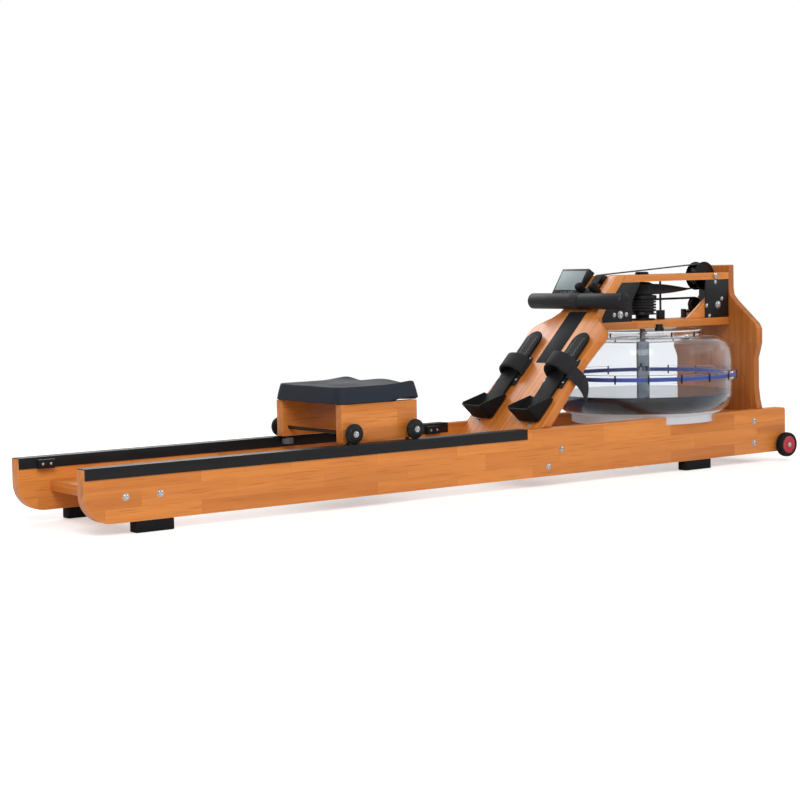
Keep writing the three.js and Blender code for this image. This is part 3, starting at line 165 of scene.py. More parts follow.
class Graph:
    """A node tree with short calls for adding and linking nodes."""

    def __init__(self, tree: bpy.types.NodeTree) -> None:
        """Keeps the tree that the calls work on."""
        self.tree = tree

    def find(self, kind: str) -> bpy.types.Node:
        """Finds the node of a kind that the tree began with."""
        return next(node for node in self.tree.nodes if node.type == kind)

    def add(self, kind: str, inputs: dict | None = None, **settings: object) -> bpy.types.Node:
        """Adds a node.

        Args:
            kind: The node's type, without its "ShaderNode" prefix.
            inputs: Values or output sockets by input name or index.
            **settings: Properties of the node.

        Returns:
            The new node.
        """
        prefix = "" if kind.startswith("Node") else "ShaderNode"
        node = self.tree.nodes.new(prefix + kind)
        for key, value in settings.items():
            setattr(node, key, value)
        self.fill(node, inputs or {})
        return node

    def fill(self, node: bpy.types.Node, inputs: dict) -> None:
        """Links outputs to a node's inputs, or sets the inputs' own values.

        Args:
            node: The node.
            inputs: Values or output sockets by input name or index, colours without their opacity.
        """
        for key, value in inputs.items():
            if isinstance(value, bpy.types.NodeSocket):
                self.tree.links.new(value, node.inputs[key])
            elif node.inputs[key].type == "RGBA":
                node.inputs[key].default_value = (*value, 1.0)
            else:
                node.inputs[key].default_value = value

    def math(self, operation: str, first: object, second: object, clamp: bool = False) -> bpy.types.NodeSocket:
        """Adds a Math node and gives its result."""
        return self.add("Math", {0: first, 1: second}, operation=operation, use_clamp=clamp).outputs[0]

    def blend(self, factor: object, first: object, second: object) -> bpy.types.NodeSocket:
        """Mixes two colours and gives the result."""
        return self.add("Mix", {0: factor, 6: first, 7: second}, data_type="RGBA").outputs[2]

    def spread(
        self, value: object, target: tuple[float, float], source: tuple[float, float] = (0.0, 1.0),
        kind: str = "LINEAR"
    ) -> bpy.types.NodeSocket:
        """Maps one range of values on to another.

        Args:
            value: The value to map.
            target: The ends of the new range.
            source: The ends of the old range.
            kind: The node's interpolation.

        Returns:
            The mapped value.
        """
        ends = {"From Min": source[0], "From Max": source[1], "To Min": target[0], "To Max": target[1]}
        return self.add("MapRange", {"Value": value, **ends}, interpolation_type=kind).outputs[0]

    def bump(self, height: object, strength: float, distance: float) -> bpy.types.NodeSocket:
        """Turns a height into a normal."""
        return self.add("Bump", {"Height": height, "Strength": strength, "Distance": distance}).outputs[0]

    def own(self) -> bpy.types.NodeSocket:
        """Gives the piece's own coordinates."""
        return self.add("TexCoord").outputs["Object"]

    def turned(self, turn: Point) -> bpy.types.NodeSocket:
        """Gives the piece's own coordinates, turned to follow it."""
        return self.add("Mapping", {"Vector": self.own(), "Rotation": turn}, vector_type="TEXTURE").outputs[0]

    def seen(self) -> bpy.types.NodeSocket:
        """Gives 1 where the camera looks at a surface, straight or through a clear one."""
        path = self.add("LightPath").outputs
        return self.math("MAXIMUM", path["Is Camera Ray"], path["Is Transmission Ray"])


class SharedEffects:
    """Node groups that several materials use, each built once."""

    def __init__(self) -> None:
        """Builds the groups."""
        self.planks = self._planks()
        self.edges = self._edges()
        self.grit = self._grit()
        self.weave = self._weave()

    @staticmethod
    def _group(name: str, inputs: dict[str, object], outputs: tuple[str, ...]) -> tuple:
        """Starts a group.

        Args:
            name: The group's name.
            inputs: By input name, a number or a colour as its default, or None for a vector.
            outputs: The names of its outputs, all of them numbers but "Color".

        Returns:
            The tree, its graph, the group's input sockets and its output node.
        """
        tree = bpy.data.node_groups.new(name, "ShaderNodeTree")
        for key, value in inputs.items():
            kind = "Vector" if value is None else "Float" if isinstance(value, float) else "Color"
            socket = tree.interface.new_socket(key, in_out="INPUT", socket_type=f"NodeSocket{kind}")
            if value is not None:
                socket.default_value = (*value, 1.0) if kind == "Color" else value
        for key in outputs:
            kind = "Color" if key == "Color" else "Float"
            tree.interface.new_socket(key, in_out="OUTPUT", socket_type=f"NodeSocket{kind}")
        graph = Graph(tree)
        return tree, graph, graph.add("NodeGroupInput").outputs, graph.add("NodeGroupOutput")

    def _planks(self) -> bpy.types.NodeTree:
        """Builds finger-jointed blocks of lacquered wood with their grain.

        Returns:
            The group, with Color, Roughness and Height outputs.
        """
        tree, graph, source, target = self._group(
            "jointed_planks",
            {"Vector": None, "Light": (0.62, 0.25, 0.07), "Dark": (0.36, 0.11, 0.025), "Block Length": 0.24,
             "Block Height": 0.04},
            ("Color", "Roughness", "Height"))
        split = graph.add("SeparateXYZ", {0: source["Vector"]}).outputs
        rows = graph.math("ADD", split[1], split[2])
        bricks = graph.add("TexBrick", {
            "Vector": graph.add("CombineXYZ", {0: split[0], 1: rows}).outputs[0], "Color1": (0.0, 0.0, 0.0),
            "Color2": (1.0, 1.0, 1.0), "Mortar": (0.5, 0.5, 0.5), "Scale": 1.0, "Mortar Size": 0.0002,
            "Brick Width": source["Block Length"], "Row Height": source["Block Height"],
        }, offset=0.37, offset_frequency=2).outputs
        tone = graph.add("SeparateColor", {0: bricks["Color"]}).outputs[0]
        drawn, fine = (
            graph.add("Mapping", {"Vector": source["Vector"], "Scale": scale}).outputs[0]
            for scale in ((1.6, 26.0, 26.0), (14.0, 420.0, 420.0)))
        grain = graph.add("TexNoise", {
            "Vector": drawn, "W": graph.math("MULTIPLY", tone, 37.0), "Scale": 1.0, "Detail": 7.0, "Roughness": 0.62,
            "Distortion": 0.6}, noise_dimensions="4D").outputs[0]
        pores = graph.add(
            "TexNoise", {"Vector": fine, "W": tone, "Scale": 1.0, "Detail": 3.0}, noise_dimensions="4D").outputs[0]
        figure = graph.add("TexWave", {
            "Vector": drawn, "Scale": 0.55, "Distortion": 9.0, "Detail": 3.0,
            "Phase Offset": graph.math("MULTIPLY", tone, 50.0)}, bands_direction="Y").outputs["Fac"]
        grey = graph.math("ADD", graph.math("MULTIPLY", tone, 0.31), graph.math("MULTIPLY", grain, 0.72))
        grey = graph.math("ADD", grey, graph.math("MULTIPLY", figure, 0.2))
        joint = graph.math("MULTIPLY", bricks["Fac"], 0.55)
        base = graph.blend(grey, source["Dark"], source["Light"])
        base = graph.blend(graph.spread(pores, (0.0, 0.6), (0.54, 0.72)), base, source["Dark"])
        base = graph.blend(joint, base, source["Dark"])
        height = graph.math("SUBTRACT", graph.math("MULTIPLY", pores, 0.6), graph.math("MULTIPLY", joint, 0.8))
        graph.fill(target, {"Color": base, "Roughness": graph.spread(grain, (0.28, 0.46)), "Height": height})
        return tree

    def _edges(self) -> bpy.types.NodeTree:
        """Builds a mask that is 1 on rounded edges.

        Returns:
            The group, with a Mask output.
        """
        tree, graph, source, target = self._group("edge_wear", {"Radius": 0.003, "Strength": 8.0}, ("Mask",))
        rounded = graph.add("Bevel", {"Radius": source["Radius"]}, samples=4).outputs[0]
        plain = graph.add("NewGeometry").outputs["Normal"]
        dot = graph.add("VectorMath", {0: rounded, 1: plain}, operation="DOT_PRODUCT").outputs["Value"]
        mask = graph.math("MULTIPLY", graph.math("SUBTRACT", 1.0, dot), source["Strength"], clamp=True)
        graph.fill(target, {"Mask": mask})
        return tree

    def _grit(self) -> bpy.types.NodeTree:
        """Builds a fine moulded or foamed surface.

        Returns:
            The group, with Height and Mottle outputs.
        """
        tree, graph, source, target = self._group(
            "fine_grit", {"Scale": 900.0, "Mottle Scale": 14.0}, ("Height", "Mottle"))
        own = graph.own()
        grain = graph.add("TexVoronoi", {"Vector": own, "Scale": source["Scale"]}, feature="SMOOTH_F1")
        mottle = graph.add("TexNoise", {"Vector": own, "Scale": source["Mottle Scale"], "Detail": 5.0})
        graph.fill(target, {"Height": grain.outputs["Distance"], "Mottle": mottle.outputs[0]})
        return tree

    def _weave(self) -> bpy.types.NodeTree:
        """Builds the ribs of a woven webbing.

        Returns:
            The group, with Height and Mask outputs.
        """
        tree, graph, source, target = self._group(
            "webbing_weave", {"Vector": None, "Scale": 260.0}, ("Height", "Mask"))
        warp, weft = (
            graph.add("TexWave", {"Vector": source["Vector"], "Scale": source["Scale"], "Distortion": 0.4},
                      bands_direction=way).outputs["Fac"] for way in "XY")
        woven = graph.math("MULTIPLY", warp, weft)
        wear = graph.add("TexNoise", {"Vector": source["Vector"], "Scale": 30.0, "Detail": 4.0}).outputs[0]
        graph.fill(target, {"Height": woven, "Mask": graph.math("MULTIPLY", woven, wear)})
        return tree


@dataclass(frozen=True)
class WoodFinish:
    """Lacquered, finger-jointed wood, with its grain turned to follow a board."""

    turn: Point = (0.0, 0.0, 0.0)
    light: Colour = (0.84, 0.30, 0.058)
    dark: Colour = (0.42, 0.10, 0.010)
    block_length: float = 0.23
    block_height: float = 0.039

    def build(self, name: str, effects: SharedEffects) -> bpy.types.Material:
        """Makes the material.

        Args:
            name: The material's name.
            effects: The shared node groups.

        Returns:
            The material.
        """
        material, graph, shader = start_material(name)
        planks = graph.add("Group", {
            "Vector": graph.turned(self.turn), "Light": self.light, "Dark": self.dark,
            "Block Length": self.block_length, "Block Height": self.block_height}, node_tree=effects.planks).outputs
        wear = graph.math("MULTIPLY", graph.add("Group", node_tree=effects.edges).outputs[0], 0.55)
        graph.fill(shader, {
            "Base Color": graph.blend(wear, planks["Color"], toned(self.light, 1.25, 0.03)),
            "Roughness": planks["Roughness"], "Specular IOR Level": 0.4, "Coat Weight": 0.12, "Coat Roughness": 0.25,
            "Normal": graph.bump(planks["Height"], 0.12, 0.0004)})
        return material


@dataclass(frozen=True)
class GrainyFinish:
    """A moulded, painted, foamed or rubber surface with grit, mottling and edge wear."""

    colour: Colour
    roughness: float = 0.5
    metallic: float = 0.0
    scale: float = 900.0
    bump: float = 0.15
    wear: Colour = (0.12, 0.12, 0.12)
    wear_share: float = 0.3
    sheen: float = 0.0
    coat: float = 0.0
    specular: float = 0.35

    def build(self, name: str, effects: SharedEffects) -> bpy.types.Material:
        """Makes the material.

        Args:
            name: The material's name.
            effects: The shared node groups.

        Returns:
            The material.
        """
        material, graph, shader = start_material(name)
        grit = graph.add("Group", {"Scale": self.scale}, node_tree=effects.grit).outputs
        edges = graph.add("Group", {"Radius": 0.0015}, node_tree=effects.edges).outputs
        mottled = graph.blend(grit["Mottle"], toned(self.colour, 0.72), toned(self.colour, 1.28))
        ends = (max(0.05, self.roughness - 0.12), min(1.0, self.roughness + 0.12))
        graph.fill(shader, {
            "Base Color": graph.blend(graph.math("MULTIPLY", edges[0], self.wear_share), mottled, self.wear),
            "Roughness": graph.spread(grit["Mottle"], ends), "Metallic": self.metallic,
            "Specular IOR Level": self.specular, "Sheen Weight": self.sheen, "Coat Weight": self.coat,
            "Normal": graph.bump(grit["Height"], self.bump, 0.0006)})
        return material


@dataclass(frozen=True)
class WovenFinish:
    """Woven webbing or braided cord."""

    colour: Colour = (0.012, 0.012, 0.014)
    thread: Colour = (0.035, 0.035, 0.04)
    turn: Point = (0.0, 0.0, 0.0)
    scale: float = 210.0

    def build(self, name: str, effects: SharedEffects) -> bpy.types.Material:
        """Makes the material.

        Args:
            name: The material's name.
            effects: The shared node groups.

        Returns:
            The material.
        """
        material, graph, shader = start_material(name)
        weave = graph.add(
            "Group", {"Vector": graph.turned(self.turn), "Scale": self.scale}, node_tree=effects.weave).outputs
        graph.fill(shader, {
            "Base Color": graph.blend(weave["Mask"], self.colour, self.thread), "Roughness": 0.8,
            "Specular IOR Level": 0.3, "Sheen Weight": 0.08, "Normal": graph.bump(weave["Height"], 0.5, 0.0005)})
        return material


@dataclass(frozen=True)
class ClearFinish:
    """Clear plastic or water, with faint smears and light let through to what lies below; water can also carry a
    painted shade, a darker tint from a given height up.
    """

    tint: Colour = (0.93, 0.95, 0.975)
    # Painted shade: the darker tint that the water takes above the heights in depth. It stands for the dark band that
    # light leaves in the tank and is not a colour of the water itself.
    painted_shade_tint: Colour | None = None
    # The heights over which the water turns from its tint to the painted shade.
    depth: tuple[float, float] = (0.146, 0.172)
    roughness: float = 0.03
    ior: float = 1.25
    smear: float = 0.05
    shade: float = 0.85
    clearness: float = 0.99

    def build(self, name: str, effects: SharedEffects) -> bpy.types.Material:
        """Makes the material.

        Args:
            name: The material's name.
            effects: The shared node groups.

        Returns:
            The material.
        """
        material, graph, shader = start_material(name)
        tint = self.tint
        # Painted shade: from the heights in depth upward, the water turns from its tint to the darker painted tint.
        if self.painted_shade_tint is not None:
            height = graph.add("SeparateXYZ", {0: graph.own()}).outputs[2]
            share = graph.spread(height, (0.0, 1.0), self.depth, "SMOOTHSTEP")
            tint = graph.blend(share, self.tint, self.painted_shade_tint)
        mottle = graph.add("Group", {"Mottle Scale": 9.0}, node_tree=effects.grit).outputs["Mottle"]
        graph.fill(shader, {
            "Base Color": tint, "Transmission Weight": self.clearness, "IOR": self.ior,
            "Roughness": graph.spread(mottle, (self.roughness, self.roughness + self.smear), (0.4, 0.8))})
        shadow = graph.add("LightPath").outputs["Is Shadow Ray"]
        passing = graph.add("BsdfTransparent", {"Color": (self.shade,) * 3})
        mixed = graph.add("MixShader", {0: shadow, 1: shader.outputs[0], 2: passing.outputs[0]})
        graph.fill(graph.find("OUTPUT_MATERIAL"), {"Surface": mixed.outputs[0]})
        return material


@dataclass(frozen=True)
class ScreenFinish:
    """A grey liquid-crystal display under a clear window."""

    lit: Colour = (0.30, 0.36, 0.38)

    def build(self, name: str, effects: SharedEffects) -> bpy.types.Material:
        """Makes the material.

        Args:
            name: The material's name.
            effects: The shared node groups.

        Returns:
            The material.
        """
        material, graph, shader = start_material(name)
        mottle = graph.add("Group", {"Mottle Scale": 6.0}, node_tree=effects.grit).outputs["Mottle"]
        graph.fill(shader, {
            "Base Color": graph.blend(mottle, toned(self.lit, 0.85), toned(self.lit, 1.2)), "Roughness": 0.4,
            "Specular IOR Level": 0.1})
        return material


def start_material(name: str) -> tuple[bpy.types.Material, Graph, bpy.types.Node]:
    """Starts a material.

    Args:
        name: The material's name.

    Returns:
        The material, its graph and its Principled shader.
    """
    material = bpy.data.materials.new(name)
    material.use_nodes = True
    graph = Graph(material.node_tree)
    return material, graph, graph.find("BSDF_PRINCIPLED")


class Finish(Enum):
    """The finishes that the machine's pieces wear, each with its recipe."""

    WOOD_LENGTHWISE = WoodFinish()
    WOOD_ACROSS = WoodFinish(turn=(0.0, 0.0, math.pi / 2))
    WOOD_SLOPE = WoodFinish(turn=(0.0, -SLOPE, 0.0), block_height=0.045)
    # Upright wood: its grain is turned to stand up, and its colours are darker than the other wood, a painted shade of
    # the panel's shaded rear face.
    WOOD_UPRIGHT_PAINTED_SHADE = WoodFinish(turn=(0.0, math.pi / 2, 0.0), light=(0.60, 0.195, 0.034), dark=(0.25, 0.058, 0.008))
    BLACK_PLASTIC = GrainyFinish((0.009, 0.0095, 0.011), 0.42, wear=(0.05, 0.05, 0.055), specular=0.26)
    ROLLER_PLASTIC = GrainyFinish((0.10, 0.12, 0.115), 0.5, wear=(0.2, 0.21, 0.2))
    # Lighter grey than the rubber around it: a painted highlight where light catches the lips of the tongue's holes.
    HOLE_RIM_HIGHLIGHT = GrainyFinish((0.05, 0.052, 0.055), 0.4, wear=(0.1, 0.1, 0.1))
    BLACK_STEEL = GrainyFinish((0.008, 0.008, 0.009), 0.4, scale=1600.0, bump=0.1, wear=(0.1, 0.1, 0.1))
    BRIGHT_STEEL = GrainyFinish((0.62, 0.63, 0.64), 0.24, 1.0, scale=2200.0, bump=0.05, wear=(0.8, 0.8, 0.8))
    RUBBER = GrainyFinish((0.008, 0.008, 0.0085), 0.66, scale=1300.0, bump=0.3, specular=0.15)
    SEAT_FOAM = GrainyFinish(
        (0.019, 0.024, 0.036), 0.66, scale=1500.0, bump=0.25, sheen=0.05, wear=(0.05, 0.055, 0.065), specular=0.2)
    GRIP_FOAM = GrainyFinish((0.010, 0.011, 0.013), 0.6, scale=1100.0, bump=0.4)
    WEBBING = WovenFinish()
    WEBBING_SLOPE = WovenFinish(turn=(0.0, -SLOPE, 0.0))
    CORD = WovenFinish(scale=520.0)
    CLEAR_PLASTIC = ClearFinish()
    MILKY_PLASTIC = ClearFinish(tint=(0.9, 0.92, 0.94), roughness=0.5, clearness=0.5)
    PADDLE_PLASTIC = ClearFinish(tint=(0.17, 0.2, 0.23), roughness=0.05, shade=0.6)
    # Water with a painted shade: near black above 0.132 to 0.140 m, for the dark band that light leaves in the tank.
    WATER = ClearFinish(
        tint=(0.80, 0.84, 0.88), painted_shade_tint=(0.006, 0.017, 0.034), depth=(0.132, 0.140), roughness=0.0, ior=1.333,
        smear=0.0, clearness=1.0)
    BLUE_SEAL = GrainyFinish((0.05, 0.09, 0.36), 0.35, wear=(0.2, 0.25, 0.5))
    RED_HUB = GrainyFinish((0.42, 0.012, 0.03), 0.3, coat=0.4, wear=(0.5, 0.1, 0.1))
    SCREEN = ScreenFinish()
    LABEL = GrainyFinish((0.02, 0.021, 0.024), scale=3000.0, bump=0.03, wear=(0.04, 0.04, 0.04), specular=0.05)


class Wardrobe:
    """Makes each finish the first time that a piece asks for it."""

    def __init__(self) -> None:
        """Builds the shared effects."""
        self.effects = SharedEffects()
        self.made: dict[Finish, bpy.types.Material] = {}

    def material(self, finish: Finish) -> bpy.types.Material:
        """Gives a finish's material."""
        if finish not in self.made:
            self.made[finish] = finish.value.build(finish.name.lower(), self.effects)
        return self.made[finish]

    def dress(self, piece: bpy.types.Object, finish: Finish) -> None:
        """Gives a piece one finish all over."""
        piece.data.materials.clear()
        piece.data.materials.append(self.material(finish))


class Bench:
    """The modelling operations that the sub-assemblies share."""

    def __init__(self, wardrobe: Wardrobe) -> None:
        """Keeps the finishes that the pieces wear."""
        self.wardrobe = wardrobe
        self.count = 0

    @staticmethod
    def pick(piece: bpy.types.Object) -> None:
        """Selects one object alone and makes it active."""
        bpy.ops.object.select_all(action="DESELECT")
        piece.select_set(True)
        bpy.context.view_layer.objects.active = piece

    @staticmethod
    def settle(piece: bpy.types.Object) -> None:
        """Writes an object's place, turn and scale into its mesh."""
        Bench.pick(piece)
        bpy.ops.object.transform_apply(location=True, rotation=True, scale=True)

    @staticmethod
    def smooth(piece: bpy.types.Object, degrees: float) -> None:
        """Smooths the shading over edges flatter than an angle."""
        Bench.pick(piece)
        bpy.ops.object.shade_smooth_by_angle(angle=math.radians(degrees))

    @staticmethod
    def apply_modifier(piece: bpy.types.Object, kind: str, **settings: object) -> None:
        """Adds a modifier with the given settings and applies it."""
        Bench.pick(piece)
        modifier = piece.modifiers.new(kind.lower(), kind)
        for key, value in settings.items():
            setattr(modifier, key, value)
        bpy.ops.object.modifier_apply(modifier=modifier.name)

    @staticmethod
    def soften(piece: bpy.types.Object, width: float, segments: int = 2, angle: float = 30.0) -> None:
        """Bevels the sharp edges and smooths the shading.

        Args:
            piece: The mesh object.
            width: The bevel's width, in metres.
            segments: How many steps round the edge.
            angle: The least angle of an edge that counts as sharp, in degrees.
        """
        Bench.apply_modifier(
            piece, "BEVEL", width=width, segments=segments, limit_method="ANGLE", angle_limit=math.radians(angle),
            use_clamp_overlap=True)
        Bench.smooth(piece, 38.0)

    def finish(
        self, piece: bpy.types.Object, finish: Finish, body: str, slot: str, nodes: Iterable[str] = ()
    ) -> bpy.types.Object:
        """Applies a piece's place, dresses it and hangs it on its body.

        Args:
            piece: The mesh object.
            finish: Its finish.
            body: The body that it moves with.
            slot: The record's material slot; not used.
            nodes: The CAD nodes that it stands for.

        Returns:
            The piece.
        """
        self.settle(piece)
        self.wardrobe.dress(piece, finish)
        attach(piece, body)
        if nodes:
            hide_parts(*nodes)
        self.count += 1
        LOG.info("%s: %d faces on %s", piece.name, len(piece.data.polygons), body)
        return piece

    def copy_node(self, node: str, name: str) -> bpy.types.Object:
        """Copies a CAD node's mesh into a new object with its doubles merged and flats joined.

        Args:
            node: The CAD node.
            name: The new object's name.

        Returns:
            The new object.
        """
        piece = place_object(name, frame["nodes"][node].data.copy())
        self.pick(piece)
        bpy.ops.mesh.customdata_custom_splitnormals_clear()
        bpy.ops.object.mode_set(mode="EDIT")
        bpy.ops.mesh.select_all(action="SELECT")
        bpy.ops.mesh.remove_doubles(threshold=MERGE_DISTANCE)
        bpy.ops.mesh.dissolve_limited(angle_limit=math.radians(0.6))
        bpy.ops.object.mode_set(mode="OBJECT")
        return piece

    def refine(self, node: str, finish: Finish, bevel: float, suffix: str, segments: int = 2) -> bpy.types.Object:
        """Makes the fine form of a CAD node, with rounded edges and its finish.

        Args:
            node: The CAD node.
            finish: The finish.
            bevel: The width of the rounded edges, in metres.
            suffix: What is added to the node's name.
            segments: Steps round each edge.

        Returns:
            The new piece, which stands for the node.
        """
        piece = self.copy_node(node, f"{node}_{suffix}")
        self.soften(piece, bevel, segments)
        return self.finish(piece, finish, NODE_BODY[node], NODE_SLOT[node], [node])

    @staticmethod
    def close_mesh() -> None:
        """Turns all faces outwards and leaves edit mode."""
        bpy.ops.mesh.select_all(action="SELECT")
        bpy.ops.mesh.normals_make_consistent(inside=False)
        bpy.ops.object.mode_set(mode="OBJECT")

    @staticmethod
    def wire(name: str, points: Sequence[Point | Vector]) -> bpy.types.Object:
        """Draws a line of vertices by extruding one vertex from point to point.

        Args:
            name: The object's name.
            points: The line's points.

        Returns:
            The object, left in edit mode with its last vertex selected.
        """
        bpy.ops.object.select_all(action="DESELECT")
        bpy.ops.mesh.primitive_plane_add(size=0.001, location=tuple(points[0]))
        piece = bpy.context.object
        piece.name = name
        Bench.settle(piece)
        bpy.ops.object.mode_set(mode="EDIT")
        bpy.ops.mesh.select_mode(type="VERT")
        bpy.ops.mesh.select_all(action="SELECT")
        bpy.ops.mesh.merge(type="CENTER")
        for before, after in zip(points, points[1:]):
            step = Vector(after) - Vector(before)
            bpy.ops.mesh.extrude_region_move(TRANSFORM_OT_translate={"value": tuple(step)})
        return piece

    def lathe(
        self, name: str, profile: Sequence[tuple[float, float]], centre: Point | Vector, axis: str,
        segments: int = 48, closed: bool = False
    ) -> bpy.types.Object:
        """Turns a profile about an axis.

        Args:
            name: The object's name.
            profile: Radius and height pairs, heights running along the axis.
            centre: The point on the axis where height is zero.
            axis: "Y" or "Z".
            segments: Steps round the axis.
            closed: Whether the profile's ends join to each other instead of ending on the axis.

        Returns:
            The turned object.
        """
        along, out = {"Y": (ACROSS, UP), "Z": (UP, LENGTHWISE)}[axis]
        middle = Vector(centre)
        points = [middle + out * radius + along * height for radius, height in profile]
        if closed:
            points.append(points[0])
        piece = self.wire(name, points)
        bpy.ops.mesh.select_all(action="SELECT")
        bpy.ops.mesh.spin(
            steps=segments, angle=2 * math.pi, center=tuple(middle), axis=tuple(along), use_auto_merge=True)
        bpy.ops.mesh.select_all(action="SELECT")
        bpy.ops.mesh.remove_doubles(threshold=MERGE_DISTANCE)
        self.close_mesh()
        self.smooth(piece, 32.0)
        return piece

    def prism(self, name: str, outline: Sequence[Vector], depth: Vector, bevel: float) -> bpy.types.Object:
        """Raises a flat outline into a solid.

        Args:
            name: The object's name.
            outline: The outline's corners in order.
            depth: How far and which way it is raised.
            bevel: The width of its rounded edges.

        Returns:
            The solid.
        """
        piece = self.wire(name, outline)
        bpy.ops.mesh.select_all(action="SELECT")
        bpy.ops.mesh.edge_face_add()
        bpy.ops.mesh.extrude_region_move(TRANSFORM_OT_translate={"value": tuple(depth)})
        self.close_mesh()
        self.soften(piece, bevel)
        return piece

    def ribbon(
        self, name: str, path: Sequence[Vector], across: Callable[[int], Vector], thickness: float
    ) -> bpy.types.Object:
        """Draws a band along a path.

        Args:
            name: The object's name.
            path: The middle line of the band.
            across: Gives the half width's vector at each point of the path.
            thickness: The band's thickness, in metres.

        Returns:
            The band.
        """
        piece = self.wire(name, [path[0] - across(0), path[0] + across(0)])
        bpy.ops.mesh.select_all(action="SELECT")
        for before, after in zip(path, path[1:]):
            bpy.ops.mesh.extrude_region_move(TRANSFORM_OT_translate={"value": tuple(after - before)})
        bpy.ops.object.mode_set(mode="OBJECT")
        for index, middle in enumerate(path):
            piece.data.vertices[2 * index].co = middle - across(index)
            piece.data.vertices[2 * index + 1].co = middle + across(index)
        self.apply_modifier(piece, "SOLIDIFY", thickness=thickness, offset=0.0)
        self.soften(piece, 0.0004, 2, 50.0)
        return piece

    def tube(self, name: str, path: Sequence[Vector], radius: float) -> bpy.types.Object:
        """Draws a round cord along a path.

        Args:
            name: The object's name.
            path: The cord's middle line.
            radius: Its radius, in metres.

        Returns:
            The cord as a mesh.
        """
        curve = bpy.data.curves.new(name, "CURVE")
        curve.dimensions = "3D"
        curve.bevel_depth = radius
        curve.bevel_resolution = 3
        curve.use_fill_caps = True
        spline = curve.splines.new("POLY")
        spline.points.add(len(path) - 1)
        for point, place in zip(spline.points, path):
            point.co = (*place, 1.0)
        self.pick(place_object(name, curve))
        bpy.ops.object.convert(target="MESH")
        piece = bpy.context.object
        self.smooth(piece, 50.0)
        return piece

    def join(self, name: str, pieces: Sequence[bpy.types.Object]) -> bpy.types.Object:
        """Joins copies of one fitting into one set.

        Args:
            name: The set's name.
            pieces: The copies.

        Returns:
            The set.
        """
        bpy.ops.object.select_all(action="DESELECT")
        for piece in pieces:
            piece.select_set(True)
        bpy.context.view_layer.objects.active = pieces[0]
        bpy.ops.object.join()
        joined = bpy.context.object
        joined.name = name
        return joined

    def repeat(self, name: str, first: bpy.types.Object, places: Iterable[Matrix]) -> bpy.types.Object:
        """Sets copies of a fitting in their places, as one set.

        Args:
            name: The set's name.
            first: The fitting, which isn't kept.
            places: Where each copy goes.

        Returns:
            The set.
        """
        copies = []
        for place in places:
            piece = place_object(first.name, first.data.copy())
            piece.matrix_world = place
            self.settle(piece)
            copies.append(piece)
        bpy.data.objects.remove(first)
        return self.join(name, copies)

    def bolts(
        self, name: str, places: Sequence[Vector], facing: Vector, radius: float, body: str, washer: float
    ) -> bpy.types.Object:
        """Sets round-headed socket bolts on a surface.

        Args:
            name: The set's name.
            places: Where each head sits.
            facing: Which way the heads face.
            radius: The head's radius, in metres.
            body: The body that the set moves with.
            washer: The washer's radius as a share of the head's.

        Returns:
            The set of bolts.
        """
        shares = (
            (0.0, -0.1), (washer, -0.1), (washer, 0.12), (1.0, 0.16), (1.0, 0.32), (0.9, 0.52), (0.7, 0.64),
            (0.46, 0.68), (0.4, 0.3), (0.0, 0.28))
        first = self.lathe(f"{name}_head", [(radius * out, radius * up) for out, up in shares], ORIGIN, "Z", 20)
        turn = UP.rotation_difference(facing).to_matrix().to_4x4()
        heads = self.repeat(name, first, [Matrix.Translation(place) @ turn for place in places])
        return self.finish(heads, Finish.BRIGHT_STEEL, body, "bright_steel")


@dataclass
class Timber:
    """The beams, boards, panel and decks, with the bolts that hold them."""

    bench: Bench
    lengthwise: tuple[str, ...] = ("right_beam", "left_beam", "upper_deck", "lower_deck", "gusset")
    across: tuple[str, ...] = ("rear_cross_board", "footboard_cross_block", "front_cross_block")
    bolt_radius: float = 0.0065
    beam_bolts: tuple[tuple[float, float], ...] = (
        (0.095, 0.0785), (0.1765, 0.079), (1.246, 0.0485), (1.288, 0.088), (1.961, 0.112), (1.961, 0.053))

    def build(self) -> None:
        """Builds the wooden pieces."""
        for node in self.lengthwise:
            self.bench.refine(node, Finish.WOOD_LENGTHWISE, 0.0022, "timber", 3)
        for node in self.across:
            self.bench.refine(node, Finish.WOOD_ACROSS, 0.002, "timber", 3)
        self.bench.refine("footboard", Finish.WOOD_SLOPE, 0.0028, "timber", 3)
        # The front panel's darker wood is a painted shade.
        self.bench.refine("front_panel", Finish.WOOD_UPRIGHT_PAINTED_SHADE, 0.0026, "timber", 3)
        self._beam_bolts()

    def _beam_bolts(self) -> None:
        """Sets the bolts in the beams' outer faces."""
        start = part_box("right_beam")[0].x
        for side, way in SIDES.items():
            places = [Vector((start + x, face_y(f"{side}_beam", way), z)) for x, z in self.beam_bolts]
            self.bench.bolts(f"{side}_beam_bolts", places, ACROSS * way, self.bolt_radius, "frame", 1.25)


